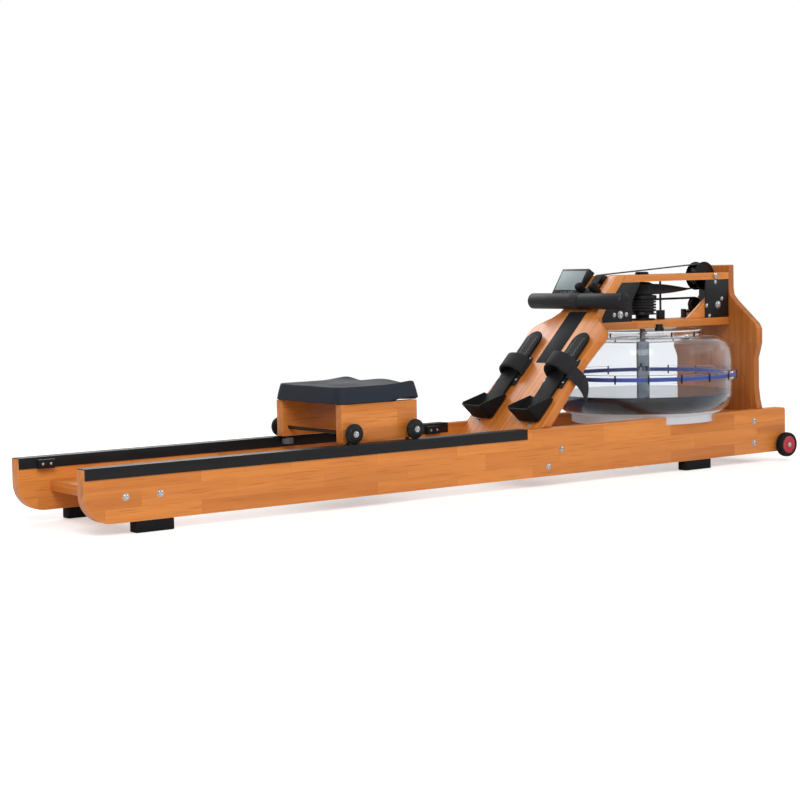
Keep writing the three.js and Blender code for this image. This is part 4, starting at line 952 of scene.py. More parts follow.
@dataclass
class RunningGear:
    """The rails, their stops, the feet and the transport wheels."""

    bench: Bench
    screw_radius: float = 0.0028
    wheel_width: float = 0.022
    hub_radius: float = 0.023
    tread_steps: int = 66

    def build(self) -> None:
        """Builds the rails, feet and transport wheels."""
        for side in SIDES:
            self.bench.refine(f"{side}_rail", Finish.BLACK_PLASTIC, 0.0008, "cap")
            for end in ("rear", "front"):
                self.bench.refine(f"{side}_{end}_foot", Finish.RUBBER, 0.002, "pad")
            self._stop_screws(side)
            self._transport_wheel(side)

    def _stop_screws(self, side: str) -> None:
        """Sets two screws in each seat stop.

        Args:
            side: "right" or "left".
        """
        low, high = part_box(f"{side}_rail")
        inward = -SIDES[side]
        places = [
            Vector((middle + shift, face_y(f"{side}_rail", inward), BEAM_TOP - 0.013))
            for middle in (low.x + 0.061, high.x - 0.053) for shift in (-0.0095, 0.0095)]
        self.bench.bolts(f"{side}_stop_screws", places, ACROSS * inward, self.screw_radius, "frame", 1.1)

    def _transport_wheel(self, side: str) -> None:
        """Makes a treaded tyre, a red hub and its bolt.

        Args:
            side: "right" or "left".
        """
        node, way = f"{side}_transport_wheel", SIDES[side]
        body = NODE_BODY[node]
        low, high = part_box(node)
        centre = in_plane(middle_of(node))
        radius, hub_radius, width = (high.z - low.z) / 2, self.hub_radius, self.wheel_width
        start = face_y(node, -way) + way * 0.0023
        tyre = self.bench.lathe(f"{side}_tyre", sided((
            (hub_radius, 0.0), (radius - 0.004, 0.0), (radius - 0.0012, 0.003), (radius, 0.007),
            (radius, width - 0.006), (radius - 0.0012, width - 0.0025), (radius - 0.005, width),
            (radius - 0.008, width - 0.0012), (hub_radius + 0.001, width - 0.0008), (hub_radius, width - 0.002),
        ), way, start), centre, "Y", self.tread_steps, closed=True)
        self._tread(tyre, centre, radius)
        self.bench.finish(tyre, Finish.RUBBER, body, "rubber", [node])
        hub = self.bench.lathe(f"{side}_hub", sided((
            (0.0, 0.001), (hub_radius - 0.0004, 0.001), (hub_radius - 0.0004, width - 0.0012),
            (hub_radius - 0.002, width - 0.0004), (0.013, width - 0.0016), (0.0095, width - 0.0018), (0.0085, width),
            (0.0, width),
        ), way, start), centre, "Y", 48)
        self.bench.finish(hub, Finish.RED_HUB, body, "red_hub")
        outer = centre + ACROSS * (start + way * width)
        self.bench.bolts(f"{side}_wheel_bolt", [outer], ACROSS * way, 0.005, body, 1.2)

    def _tread(self, tyre: bpy.types.Object, centre: Vector, radius: float) -> None:
        """Sinks every third strip of the tyre's running face.

        Args:
            tyre: The tyre.
            centre: The wheel's axis at Y zero.
            radius: The tyre's outer radius.
        """
        for vertex in tyre.data.vertices:
            arm = in_plane(vertex.co - centre)
            step = round((math.atan2(arm.z, arm.x) % (2 * math.pi)) / (2 * math.pi) * self.tread_steps)
            if arm.length > radius - 0.0006 and step % 3 == 0:
                vertex.co -= arm.normalized() * 0.0011


@dataclass
class Tank:
    """The clear tank, its seal, clips, water, paddle and filler plug."""

    bench: Bench
    segments: int = 96
    clip_count: int = 18
    wall: float = 0.004
    foot_height: float = 0.03
    base_radius: float = 0.189
    bulge_height: float = 0.068
    flange_reach: float = 0.009
    lid_radius: float = 0.155
    lid_clip_count: int = 12

    def __post_init__(self) -> None:
        """Measures the CAD tank."""
        low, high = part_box("tank_lower_shell")
        middle = (low + high) / 2
        self.axis = Vector((middle.x, middle.y, 0.0))
        self.base, self.rim = low.z, high.z
        self.flange = (high.x - low.x) / 2
        self.radius = self.flange - self.flange_reach
        self.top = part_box("tank_upper_shell")[1].z

    def build(self) -> None:
        """Builds the tank's pieces."""
        self._lower_shell()
        self._upper_shell()
        self._seal()
        self._water()
        self._paddle()
        self.bench.refine("filler_plug", Finish.BLACK_PLASTIC, 0.0008, "cap")

    def _bulge(self, inset: float) -> list[tuple[float, float]]:
        """Gives the lower shell's outline from its base to its side.

        Args:
            inset: How far inside the outer surface the outline lies.

        Returns:
            Radius and height pairs.
        """
        base, low = self.base_radius - inset, self.base + inset
        top = self.base + self.bulge_height
        reach = self.radius - inset - base
        shares = ((0.0, 0.0), (0.0, 0.28), (0.18, 0.31), (0.5, 0.42), (0.7, 0.53), (0.86, 0.68), (0.96, 0.86),
                  (1.0, 1.0))
        return [(base + a * reach, low + b * (top - low)) for a, b in shares]

    def _lower_shell(self) -> None:
        """Makes the lower shell with its milky foot."""
        low, rim = self.base + self.wall, self.rim
        profile = [
            (0.0, self.base), *self._bulge(0.0), (self.radius, rim - 0.006), (self.radius + 0.001, rim - 0.005),
            (self.flange, rim - 0.005), (self.flange, rim), (self.radius - self.wall, rim),
            *reversed(self._bulge(self.wall)), (0.010, low), (0.010, low + 0.012), (0.0, low + 0.012),
        ]
        shell = self.bench.lathe("tank_lower_bowl", profile, self.axis, "Z", self.segments)
        self.bench.finish(shell, Finish.CLEAR_PLASTIC, "frame", "clear_plastic", ["tank_lower_shell"])
        shell.data.materials.append(self.bench.wardrobe.material(Finish.MILKY_PLASTIC))
        for face in shell.data.polygons:
            if face.center.z < self.base + self.foot_height:
                face.material_index = 1

    def _upper_shell(self) -> None:
        """Makes the upper shell with its stepped lid."""
        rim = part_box("tank_upper_shell")[0].z
        lid, step, rise = self.lid_radius, self.top - 0.015, 0.056
        reach = self.radius - lid
        shares = ((1.0, 0.0), (0.985, 0.2), (0.955, 0.4), (0.905, 0.57), (0.84, 0.7), (0.73, 0.82), (0.58, 0.91),
                  (0.38, 0.97), (0.1, 1.0))

        def dome(inset: float) -> list[tuple[float, float]]:
            """Gives the dome's outline at an inset."""
            return [(lid - inset + a * reach, step - rise + b * (rise - inset)) for a, b in shares]

        wall = self.wall
        profile = [
            (self.radius - wall, rim), (self.flange, rim), (self.flange, rim + 0.005),
            (self.radius + 0.001, rim + 0.005), (self.radius, rim + 0.006), *dome(0.0), (lid, step),
            (lid, self.top - 0.001), (lid - 0.001, self.top), (0.0085, self.top), (0.0085, self.top - wall),
            (lid - wall, self.top - wall), *reversed(dome(wall)),
        ]
        shell = self.bench.lathe("tank_upper_dome", profile, self.axis, "Z", self.segments, closed=True)
        self.bench.finish(shell, Finish.CLEAR_PLASTIC, "frame", "clear_plastic", ["tank_upper_shell"])

    def _seal(self) -> None:
        """Makes the blue seal and the clips that clamp the flanges."""
        inner, outer = self.radius - self.wall, self.flange - 0.001
        low, high = (corner.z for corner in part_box("tank_seal_ring"))
        seal = self.bench.lathe("tank_seal", [
            (inner, low), (outer - 0.001, low), (outer, low + 0.001), (outer, high - 0.001), (outer - 0.001, high),
            (inner, high)], self.axis, "Z", self.segments, closed=True)
        self.bench.finish(seal, Finish.BLUE_SEAL, "frame", "blue_seal", ["tank_seal_ring"])
        self._clips("tank_flange_clips", self.flange - 0.0005, low - 0.0062, high + 0.0062, self.clip_count)
        self._clips(
            "tank_lid_clips", self.lid_radius + 0.0005, self.top - 0.0155, self.top - 0.004, self.lid_clip_count)

    def _clips(self, name: str, reach: float, low: float, high: float, count: int) -> None:
        """Sets small dark clips round the tank.

        Args:
            name: The set's name.
            reach: The radius where the clips sit.
            low: Their lower end.
            high: Their upper end.
            count: How many there are.
        """
        clips = []
        for index in range(count):
            angle = 2 * math.pi * (index + 0.5) / count
            out = Vector((math.cos(angle), math.sin(angle), 0.0))
            side = Vector((-math.sin(angle), math.cos(angle), 0.0)) * 0.0024
            foot = self.axis + out * (reach + 0.0003) + Vector((0.0, 0.0, low))
            corners = [foot - side, foot - side * 0.8 + out * 0.0022, foot + side * 0.8 + out * 0.0022, foot + side]
            clips.append(self.bench.prism(f"{name}_{index}", corners, Vector((0.0, 0.0, high - low)), 0.0005))
        self.bench.finish(self.bench.join(name, clips), Finish.BLACK_STEEL, "frame", "black_steel")

    def _water(self) -> None:
        """Fills the tank's bowl with water."""
        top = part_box("water")[1].z
        inset = self.wall + 0.0004
        rim = self._bulge(inset)
        side = self.radius - inset
        water = self.bench.lathe("tank_water", [
            (0.0175, self.base + inset), *rim, (side, top - 0.001), (side - 0.0015, top), (0.0175, top),
        ], self.axis, "Z", self.segments, closed=True)
        # The water's material paints a dark band of shade into its upper part.
        self.bench.finish(water, Finish.WATER, "frame", "water", ["water"])

    def _paddle(self) -> None:
        """Makes the paddle's shaft, column and blades."""
        piece = self.bench.copy_node("paddle_shaft", "paddle_moulding")
        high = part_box("paddle_shaft")[1]
        for vertex in piece.data.vertices:
            arm = vertex.co - self.axis
            if vertex.co.z > self.top - 0.01:
                vertex.co.x = self.axis.x + arm.x * 0.8
                vertex.co.y = self.axis.y + arm.y * 0.8
        self.bench.soften(piece, 0.0006)
        body = NODE_BODY["paddle_shaft"]
        self.bench.finish(piece, Finish.PADDLE_PLASTIC, body, "clear_plastic", ["paddle_shaft"])
        shaft = self.bench.lathe("paddle_drive_shaft", [
            (0.0, self.top - 0.002), (0.0068, self.top - 0.002), (0.0068, high.z - 0.0002), (0.0, high.z),
        ], self.axis, "Z", 24)
        self.bench.finish(shaft, Finish.BRIGHT_STEEL, body, "bright_steel")


@dataclass
class Drive:
    """The brackets, bearings, drum, pulleys, pull strap and return cord."""

    bench: Bench
    cord_radius: float = 0.003
    cord_turns: int = 4
    cord_pitch: float = 0.0074
    strap_half: float = 0.014
    strap_thickness: float = 0.002
    lead_steps: int = 32
    large_bolt: float = 0.0075
    black_parts: tuple[str, ...] = ("lower_bearing", "bearing_cap", "guide_roller", "cord_pulley", "drum")
    front_bolts: tuple[tuple[float, float], ...] = (
        (1.942, 0.480), (1.966, 0.435), (1.909, 0.418), (1.919, 0.390))

    def build(self) -> None:
        """Builds the drive's pieces."""
        for node in ("rear_bracket", "front_bracket", "tie_rod"):
            self.bench.refine(node, Finish.BLACK_STEEL, 0.0007, "steel")
        for node in self.black_parts:
            self.bench.refine(node, Finish.BLACK_PLASTIC, 0.0006, "moulding")
        self.bench.refine("strap_pulley_axle", Finish.BRIGHT_STEEL, 0.0006, "bolt")
        self._strap_pulley()
        self._return_cord()
        self._pull_strap()
        self._bracket_bolts()

    def _strap_pulley(self) -> None:
        """Makes the strap pulley with its webbed flanges."""
        low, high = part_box("strap_pulley")
        middle = in_plane(middle_of("strap_pulley"))
        radius, half = (high.z - low.z) / 2, (high.y - low.y) / 2
        profile = [
            (0.0045, -half), (0.011, -half), (0.012, -half + 0.0018), (radius - 0.006, -half + 0.0018),
            (radius - 0.005, -half), (radius - 0.0006, -half), (radius, -half + 0.0006), (radius, -half + 0.0018),
            (0.031, -half + 0.0024),
        ]
        mirrored = [(r, -y) for r, y in reversed(profile)]
        pulley = self.bench.lathe("strap_pulley_wheel", profile + mirrored, middle, "Y", 56, closed=True)
        self.bench.finish(pulley, Finish.BLACK_PLASTIC, NODE_BODY["strap_pulley"], "black_plastic", ["strap_pulley"])

    def _return_cord(self) -> None:
        """Winds the elastic cord on the drum and leads it round its pulley."""
        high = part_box("return_cord")[1]
        top, run_y = high.z - self.cord_radius, high.y - self.cord_radius
        pulley = in_plane(middle_of("cord_pulley")) + ACROSS * run_y
        arm = top - pulley.z
        path = []
        steps, half_turn = self.cord_turns * 48, 24
        for step in range(steps + 1):
            left = self.cord_turns * (1 - step / steps)
            path.append(round_drum(run_y, math.pi / 2 + 2 * math.pi * left, top - self.cord_pitch * left))
        path += [on_circle(pulley, arm, math.pi / 2 - math.pi * step / half_turn) for step in range(half_turn + 1)]
        path.append(Vector((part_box("front_bracket")[0].x + 0.0084, run_y, pulley.z - arm)))
        cord = self.bench.tube("elastic_return_cord", path, self.cord_radius - 0.0001)
        self.bench.finish(cord, Finish.CORD, "frame", "rubber", ["return_cord"])

    def _strap_path(self) -> tuple[list[Vector], list[Vector]]:
        """Follows the pull strap from the handle to the drum.

        Returns:
            The middle line's points and the half width's vector at each.
        """
        gap = 0.0003 + self.strap_thickness / 2
        handle, roller, pulley = (
            in_plane(middle_of(node)) for node in ("handle_core", "guide_roller", "strap_pulley"))
        handle_radius, roller_radius, pulley_radius, drum_radius = 0.011, 0.011 + gap, 0.031 + gap, 0.027 + gap
        drum_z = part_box("drum")[1].z - 0.0048 - self.strap_half
        flat, reach = handle - roller, pulley - roller
        lead_angle = math.atan2(flat.z, flat.x) + 2 * math.pi - math.acos((roller_radius + handle_radius) / flat.length)
        top_angle = math.atan2(reach.z, reach.x) + math.acos((roller_radius - pulley_radius) / reach.length)
        path: list[Vector] = []
        sides: list[Vector] = []

        def add(points: Iterable[Vector]) -> None:
            """Adds points where the strap lies square across the machine."""
            for point in points:
                path.append(point)
                sides.append(ACROSS * self.strap_half)

        def arc(middle: Vector, radius: float, start: float, end: float, steps: int) -> None:
            """Adds an arc in the machine's upright middle plane."""
            add(on_circle(middle, radius, start + (end - start) * step / steps) for step in range(steps + 1))

        start, end = on_circle(handle, -handle_radius, lead_angle), on_circle(roller, roller_radius, lead_angle)
        add(start.lerp(end, step / self.lead_steps) for step in range(self.lead_steps))
        arc(roller, roller_radius, lead_angle, top_angle, 10)
        first, last = path[-1], on_circle(pulley, pulley_radius, top_angle)
        add(first.lerp(last, step / 12) for step in range(1, 12))
        arc(pulley, pulley_radius, top_angle, -math.pi / 2, 22)
        leave = path[-1].copy()
        leave.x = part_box("strap_pulley")[0].x - 0.0003
        finish = round_drum(drum_radius, -math.pi / 2, drum_z)
        for step in range(25):
            turn = math.pi / 2 * step / 24
            path.append(leave.lerp(finish, step / 24))
            sides.append((ACROSS * math.cos(turn) + UP * math.sin(turn)) * self.strap_half)
        for step in range(1, 37):
            path.append(round_drum(drum_radius, -math.pi / 2 - math.pi * 1.8 * step / 36, drum_z))
            sides.append(UP * self.strap_half)
        return path, sides

    def _pull_strap(self) -> None:
        """Makes the pull strap in one length, its lead running from the handle."""
        path, sides = self._strap_path()
        strap = self.bench.ribbon("pull_strap_webbing", path, lambda index: sides[index], self.strap_thickness)
        self.bench.pick(strap)
        self.bench.wardrobe.dress(strap, Finish.WEBBING)
        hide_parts("pull_strap", "strap_lead")
        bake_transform(strap)
        LOG.info("pull strap: %d faces", len(strap.data.polygons))

    def _bracket_bolts(self) -> None:
        """Sets the bolts in the brackets."""
        origin = CAD_BOX[0].x
        y = face_y("front_bracket", -1.0)
        places = [Vector((origin + x, y, z)) for x, z in self.front_bolts]
        self.bench.bolts("front_bracket_bolts", places, -ACROSS, 0.0042, "frame", 1.3)
        axle = in_plane(middle_of("cord_pulley")) + ACROSS * y
        self.bench.bolts("cord_pulley_bolt", [axle], -ACROSS, self.large_bolt, "frame", 1.35)
        for side, way in SIDES.items():
            y = face_y("rear_bracket", way)
            *small, large = (Vector((origin + x, y, 0.404)) for x in (1.576, 1.618, 1.597))
            self.bench.bolts(f"{side}_rear_bracket_bolts", small, ACROSS * way, 0.0045, "frame", 1.3)
            self.bench.bolts(
                f"{side}_rear_bracket_large_bolt", [large], ACROSS * way, self.large_bolt, "frame", 1.3)


@dataclass
class Handle:
    """The pull handle and the pegs that it rests against."""

    bench: Bench

    def build(self) -> None:
        """Builds the grip, its end caps and the pegs."""
        low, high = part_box("right_grip")
        half, radius = -low.y, (high.z - low.z) / 2
        centre = in_plane(middle_of("handle_core"))
        grip = self.bench.lathe("handle_grip_foam", [
            (0.0113, -half + 0.006), (radius - 0.0012, -half + 0.006), (radius, -half + 0.008), (radius, -0.06),
            (radius - 0.0002, -0.02), (radius - 0.0002, 0.02), (radius, 0.06), (radius, half - 0.008),
            (radius - 0.0012, half - 0.006), (0.0113, half - 0.006),
        ], centre, "Y", 56, closed=True)
        self.bench.finish(grip, Finish.GRIP_FOAM, "handle", "foam", ["right_grip", "left_grip"])
        for side, way in SIDES.items():
            cap = self.bench.lathe(f"{side}_handle_end_cap", sided((
                (0.0, half - 0.0058), (radius - 0.0006, half - 0.0058), (radius - 0.0002, half - 0.0045),
                (radius - 0.003, half - 0.001), (radius - 0.006, half), (0.006, half), (0.005, half - 0.001),
                (0.0, half - 0.001),
            ), way), centre, "Y", 48)
            self.bench.finish(cap, Finish.BLACK_PLASTIC, "handle", "black_plastic")
            self.bench.refine(f"{side}_handle_peg", Finish.RUBBER, 0.0014, "rubber", 3)
        self.bench.refine("handle_core", Finish.BRIGHT_STEEL, 0.0006, "steel")
        self._strap_cuff(centre, radius)

    def _strap_cuff(self, centre: Vector, radius: float) -> None:
        """Wraps the strap's sewn cuff round the middle of the grip."""
        cuff = self.bench.lathe("handle_strap_cuff", [
            (radius - 0.0004, -0.0145), (radius + 0.0006, -0.014), (radius + 0.0006, 0.014),
            (radius - 0.0004, 0.0145)], centre, "Y", 56, closed=True)
        self.bench.finish(cuff, Finish.WEBBING, "handle", "webbing")


@dataclass
class Console:
    """The console with its bezel, screen and buttons."""

    bench: Bench

    def build(self) -> None:
        """Builds the console."""
        self.bench.refine("console_housing", Finish.BLACK_PLASTIC, 0.0028, "moulding", 3)
        self.bench.refine("console_screen", Finish.SCREEN, 0.0005, "window")
        for index in (1, 2, 3):
            self.bench.refine(f"console_button_{index}", Finish.ROLLER_PLASTIC, 0.0006, "cap")


@dataclass
class Footrests:
    """The footrests with their heel cups, plates, screws and straps, and the board's label."""

    bench: Bench
    strap_middle: float = 0.181
    strap_half: float = 0.024
    strap_reach: float = 0.0417
    strap_thickness: float = 0.0026
    strap_rises: dict[str, float] = field(default_factory=lambda: {"right": 0.0452, "left": 0.0312})
    tail_start: tuple[float, float] = (0.169, -0.13265)
    tail_half: float = 0.018
    tail_route: tuple[tuple[float, float, float, float], ...] = (
        (0.0, 0.0, 0.0110, 0.0), (0.0, -0.0062, 0.0102, 0.0), (0.0, -0.0110, 0.0047, 0.0),
        (0.0, -0.0140, -0.0078, 0.03), (-0.0008, -0.0160, -0.0234, 0.09), (-0.0040, -0.0166, -0.0390, 0.22),
        (-0.0094, -0.0158, -0.0530, 0.38), (-0.0172, -0.0146, -0.0640, 0.50), (-0.0257, -0.0136, -0.0718, 0.56))
    label_start: float = 0.203
    label_end: float = 0.374
    label_half: float = 0.033
    hole_start: float = 0.222
    hole_pitch: float = 0.0105
    hole_rows: int = 6

    def build(self) -> None:
        """Builds both footrests."""
        for side in SIDES:
            self.bench.refine(f"{side}_footrest_plate", Finish.BLACK_PLASTIC, 0.0012, "moulding")
            self.bench.refine(f"{side}_heel_rest", Finish.RUBBER, 0.0014, "moulding")
            self._strap(side)
            self._tongue_holes(side)
            self._plate_screws(side)
        self._board_screws()
        self._label()

    def _strap(self, side: str) -> None:
        """Lays the strap over the foot, with its overlapping flap and, on the right, its loose tail.

        Args:
            side: "right" or "left".
        """
        middle = middle_of(f"{side}_footrest_plate").y
        rise = self.strap_rises[side]

        def arch(share: float, lift: float) -> Vector:
            """Gives a point of the arch, from its outer end (0) to its inner end (1)."""
            angle = math.pi * share
            reach = SIDES[side] * (self.strap_reach + lift)
            return on_slope(
                self.strap_middle + 0.003 * math.sin(angle), middle + reach * math.cos(angle),
                0.0016 + (rise + lift) * math.sin(angle))

        def half(share: float) -> Vector:
            """Gives the half width's vector, a little drawn in over the foot."""
            return SLOPE_UP * self.strap_half * (1.0 - 0.07 * math.sin(math.pi * share))

        steps = 44
        path = [arch(step / steps, 0.0) for step in range(steps + 1)]
        band = self.bench.ribbon(
            f"{side}_strap_band", path, lambda index: half(index / steps), self.strap_thickness)
        flap_end = 0.62 if side == "right" else 0.9
        flap = [arch(0.02 + (flap_end - 0.02) * step / 30, self.strap_thickness) for step in range(31)]
        cover = self.bench.ribbon(
            f"{side}_strap_flap", flap, lambda index: half(flap_end * index / 30) * 0.9, self.strap_thickness)
        pieces = [band, cover]
        if side == "right":
            pieces.append(self._tail())
        strap = self.bench.join(f"{side}_foot_strap_webbing", pieces)
        self.bench.finish(strap, Finish.WEBBING_SLOPE, "frame", "webbing", [f"{side}_foot_strap"])

    def _tail(self) -> bpy.types.Object:
        """Hangs the strap's loose end over the edge of the footboard.

        Returns:
            The tail.
        """
        along, across = self.tail_start
        knots = [Vector((along + s, across + y, lift)) for s, y, lift, _ in self.tail_route]
        turns = [turn for *_, turn in self.tail_route]
        path, sides = [], []
        for index in range(len(knots) - 1):
            before, after = knots[max(index - 1, 0)], knots[min(index + 2, len(knots) - 1)]
            for step in range(4):
                t = step / 4
                first, second = knots[index], knots[index + 1]
                spot = (first * 2 + (second - before) * t + (before * 2 - first * 5 + second * 4 - after) * t ** 2
                        + (first * 3 - before - second * 3 + after) * t ** 3) / 2
                turn = turns[index] + (turns[index + 1] - turns[index]) * t
                path.append(on_slope(*spot))
                sides.append((SLOPE_UP * math.cos(turn) + SLOPE_OUT * math.sin(turn)) * self.tail_half)
        return self.bench.ribbon("right_strap_tail", path, lambda index: sides[index], self.strap_thickness)

    def _board_screws(self) -> None:
        """Sets the two screws at the foot of the board."""
        places = [on_slope(0.006, y, 0.0002) for y in (-0.1, 0.1)]
        self.bench.bolts("footboard_screws", places, SLOPE_OUT, 0.0045, "frame", 1.2)

    def _tongue_holes(self, side: str) -> None:
        """Sets rings round the rows of peg holes in the tongue of the heel rest, their lighter grey a painted highlight
        on the holes' lips.

        Args:
            side: "right" or "left".
        """
        y = middle_of(f"{side}_heel_rest").y
        first = self.bench.lathe(f"{side}_hole", [
            (0.0032, 0.0), (0.0044, 0.0), (0.0044, 0.0005), (0.0032, 0.0007)], ORIGIN, "Z", 16, closed=True)
        turn = Matrix.Rotation(-SLOPE, 4, "Y")
        places = [
            Matrix.Translation(on_slope(self.hole_start + self.hole_pitch * row, y + shift, 0.0116)) @ turn
            for row in range(self.hole_rows) for shift in (-0.013, 0.013)]
        rings = self.bench.repeat(f"{side}_heel_hole_rims", first, places)
        # The rings' lighter grey is a painted highlight round the holes; their dark centres are the tongue's own black.
        self.bench.finish(rings, Finish.HOLE_RIM_HIGHLIGHT, NODE_BODY[f"{side}_heel_rest"], "black_plastic")

    def _plate_screws(self, side: str) -> None:
        """Sets the screws that hold the plate.

        Args:
            side: "right" or "left".
        """
        y = middle_of(f"{side}_footrest_plate").y
        places = [
            on_slope(distance, y + shift, 0.0053) for distance in (0.140, 0.209) for shift in (-0.0345, 0.0345)]
        self.bench.bolts(f"{side}_plate_screws", places, SLOPE_OUT, 0.0038, "frame", 1.0)

    def _label(self) -> None:
        """Lays the plain dark strip between the footrests."""
        half = self.label_half
        corners = [on_slope(distance, side, 0.0002) for distance, side in (
            (self.label_start, -half), (self.label_end, -half), (self.label_end, half), (self.label_start, half))]
        strip = self.bench.prism("footboard_strip", corners, SLOPE_OUT * 0.0006, 0.0002)
        self.bench.finish(strip, Finish.LABEL, "frame", "black_plastic")


@dataclass
class Seat:
    """The rolling seat: cushion, side boards, wheels, axles and side rollers."""

    bench: Bench
    grid: int = 44
    wheel_width: float = 0.013
    cushion_edge: float = 0.039
    cushion_corner: float = 0.024
    cushion_flare: float = 0.008
    dish: dict[str, float] = field(default_factory=lambda: {
        "depth": 0.15, "x": -0.25, "x_spread": 0.45, "y": 0.42, "y_spread": 0.28})
    wave: tuple[float, float, float] = (0.028, -0.24, 0.3)

    def build(self) -> None:
        """Builds the seat."""
        for side in SIDES:
            self.bench.refine(f"{side}_seat_board", Finish.WOOD_LENGTHWISE, 0.002, "timber", 3)
            self.bench.refine(f"{side}_side_roller", Finish.ROLLER_PLASTIC, 0.001, "roller")
            self._further_roller(side)
        for end in ("rear", "front"):
            self._wheelset(end)
        self._cushion()

    def _further_roller(self, side: str) -> None:
        """Makes the side roller at the other end of a seat board.

        Args:
            side: "right" or "left".
        """
        other = "left" if side == "right" else "right"
        piece = self.bench.copy_node(f"{side}_side_roller", f"{side}_second_side_roller")
        shift = middle_of(f"{other}_side_roller").x - middle_of(f"{side}_side_roller").x
        for vertex in piece.data.vertices:
            vertex.co.x += shift
        self.bench.soften(piece, 0.001)
        self.bench.finish(piece, Finish.ROLLER_PLASTIC, "seat", "black_plastic")

    def _height(self, x: float, y: float, size: Vector) -> float:
        """Gives the cushion's height over its base.

        Args:
            x: Place from the cushion's middle, lengthwise.
            y: Place from the cushion's middle, across.
            size: The cushion's length and width.

        Returns:
            The height in metres.
        """
        u, v = x / (size.x / 2), abs(y) / (size.y / 2)
        t = min(1.0, max(0.0, (u - 0.1) / 0.85))
        front = t * t * (3 - 2 * t)
        centre, dip, corner = self.wave
        wave = (centre + dip * v ** 2 + corner * v ** 4) * size.y * 0.5
        along = (u - self.dish["x"]) / self.dish["x_spread"]
        across = (v - self.dish["y"]) / self.dish["y_spread"]
        hollow = math.exp(-along ** 2 - across ** 2) * self.dish["depth"]
        return self.cushion_edge * (1 - hollow) + front * wave

    def _cushion(self) -> None:
        """Shapes the foam cushion from a grid, with a drawn-in side band."""
        low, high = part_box("seat_cushion")
        middle, size = (low + high) / 2, high - low
        bpy.ops.object.select_all(action="DESELECT")
        bpy.ops.mesh.primitive_grid_add(x_subdivisions=self.grid, y_subdivisions=self.grid, size=2.0)
        cushion = bpy.context.object
        cushion.name = "seat_cushion_foam"
        half_x, half_y = size.x / 2 - self.cushion_flare, size.y / 2 - self.cushion_flare
        for vertex in cushion.data.vertices:
            x, y = self._rounded(vertex.co.x, vertex.co.y, half_x, half_y, self.cushion_corner)
            vertex.co = (x, y, self._height(x, y, size))
        bpy.ops.object.mode_set(mode="EDIT")
        bpy.ops.mesh.select_all(action="SELECT")
        bpy.ops.mesh.region_to_loop()
        for drop, spread in ((0.002, 0.0012), (0.010, 0.0022), (0.013, 0.0026), (0.0125, 0.002)):
            bpy.ops.mesh.extrude_region_move(TRANSFORM_OT_translate={"value": (0.0, 0.0, -drop)})
            scale = (1 + spread / half_x, 1 + spread / half_y, 1.0)
            bpy.ops.transform.resize(value=scale, center_override=(0.0, 0.0, 0.0))
        bpy.ops.mesh.extrude_region_move(TRANSFORM_OT_translate={"value": (0.0, 0.0, -0.001)})
        bpy.ops.mesh.edge_face_add()
        self.bench.close_mesh()
        self._flatten_base(cushion)
        self.bench.apply_modifier(cushion, "SUBSURF", levels=1, render_levels=1)
        self._fit_base(cushion, size)
        self.bench.smooth(cushion, 60.0)
        cushion.location = (middle.x, middle.y, low.z + 0.0003)
        self.bench.finish(cushion, Finish.SEAT_FOAM, "seat", "foam", ["seat_cushion"])

    @staticmethod
    def _fit_base(cushion: bpy.types.Object, size: Vector) -> None:
        """Sets the cushion's base flat and as wide as its side boards' cover.

        Args:
            cushion: The cushion.
            size: The cushion's length and width.
        """
        reach_x = max(abs(vertex.co.x) for vertex in cushion.data.vertices)
        reach_y = max(abs(vertex.co.y) for vertex in cushion.data.vertices)
        for vertex in cushion.data.vertices:
            low = min(1.0, max(0.0, 1.0 - vertex.co.z / 0.03))
            vertex.co.x *= 1 + low * (size.x / 2 / reach_x - 1)
            vertex.co.y *= 1 + low * (size.y / 2 / reach_y - 1)
            if vertex.co.z < 0.0022:
                vertex.co.z = 0.0

    @staticmethod
    def _flatten_base(cushion: bpy.types.Object) -> None:
        """Presses the lowest ring of the cushion on to one level."""
        for vertex in cushion.data.vertices:
            vertex.co.z = max(vertex.co.z, 0.0)
        lowest = min(round(vertex.co.z, 5) for vertex in cushion.data.vertices)
        for vertex in cushion.data.vertices:
            if vertex.co.z < 0.002:
                vertex.co.z = lowest

    @staticmethod
    def _rounded(u: float, v: float, half_x: float, half_y: float, corner: float) -> tuple[float, float]:
        """Maps a square's point on to a rectangle with round corners.

        Args:
            u: Place in the square, from -1 to 1.
            v: Place in the square, from -1 to 1.
            half_x: Half the rectangle's length.
            half_y: Half the rectangle's width.
            corner: The corner's radius.

        Returns:
            The point in the rectangle.
        """
        ring = max(abs(u), abs(v))
        if ring < 1e-6:
            return 0.0, 0.0
        x, y = u / ring * half_x, v / ring * half_y
        inner_x, inner_y = half_x - corner, half_y - corner
        over_x, over_y = abs(x) - inner_x, abs(y) - inner_y
        if over_x > 0 and over_y > 0:
            length = math.hypot(over_x, over_y)
            x = math.copysign(inner_x + over_x / length * corner, x)
            y = math.copysign(inner_y + over_y / length * corner, y)
        return x * ring, y * ring

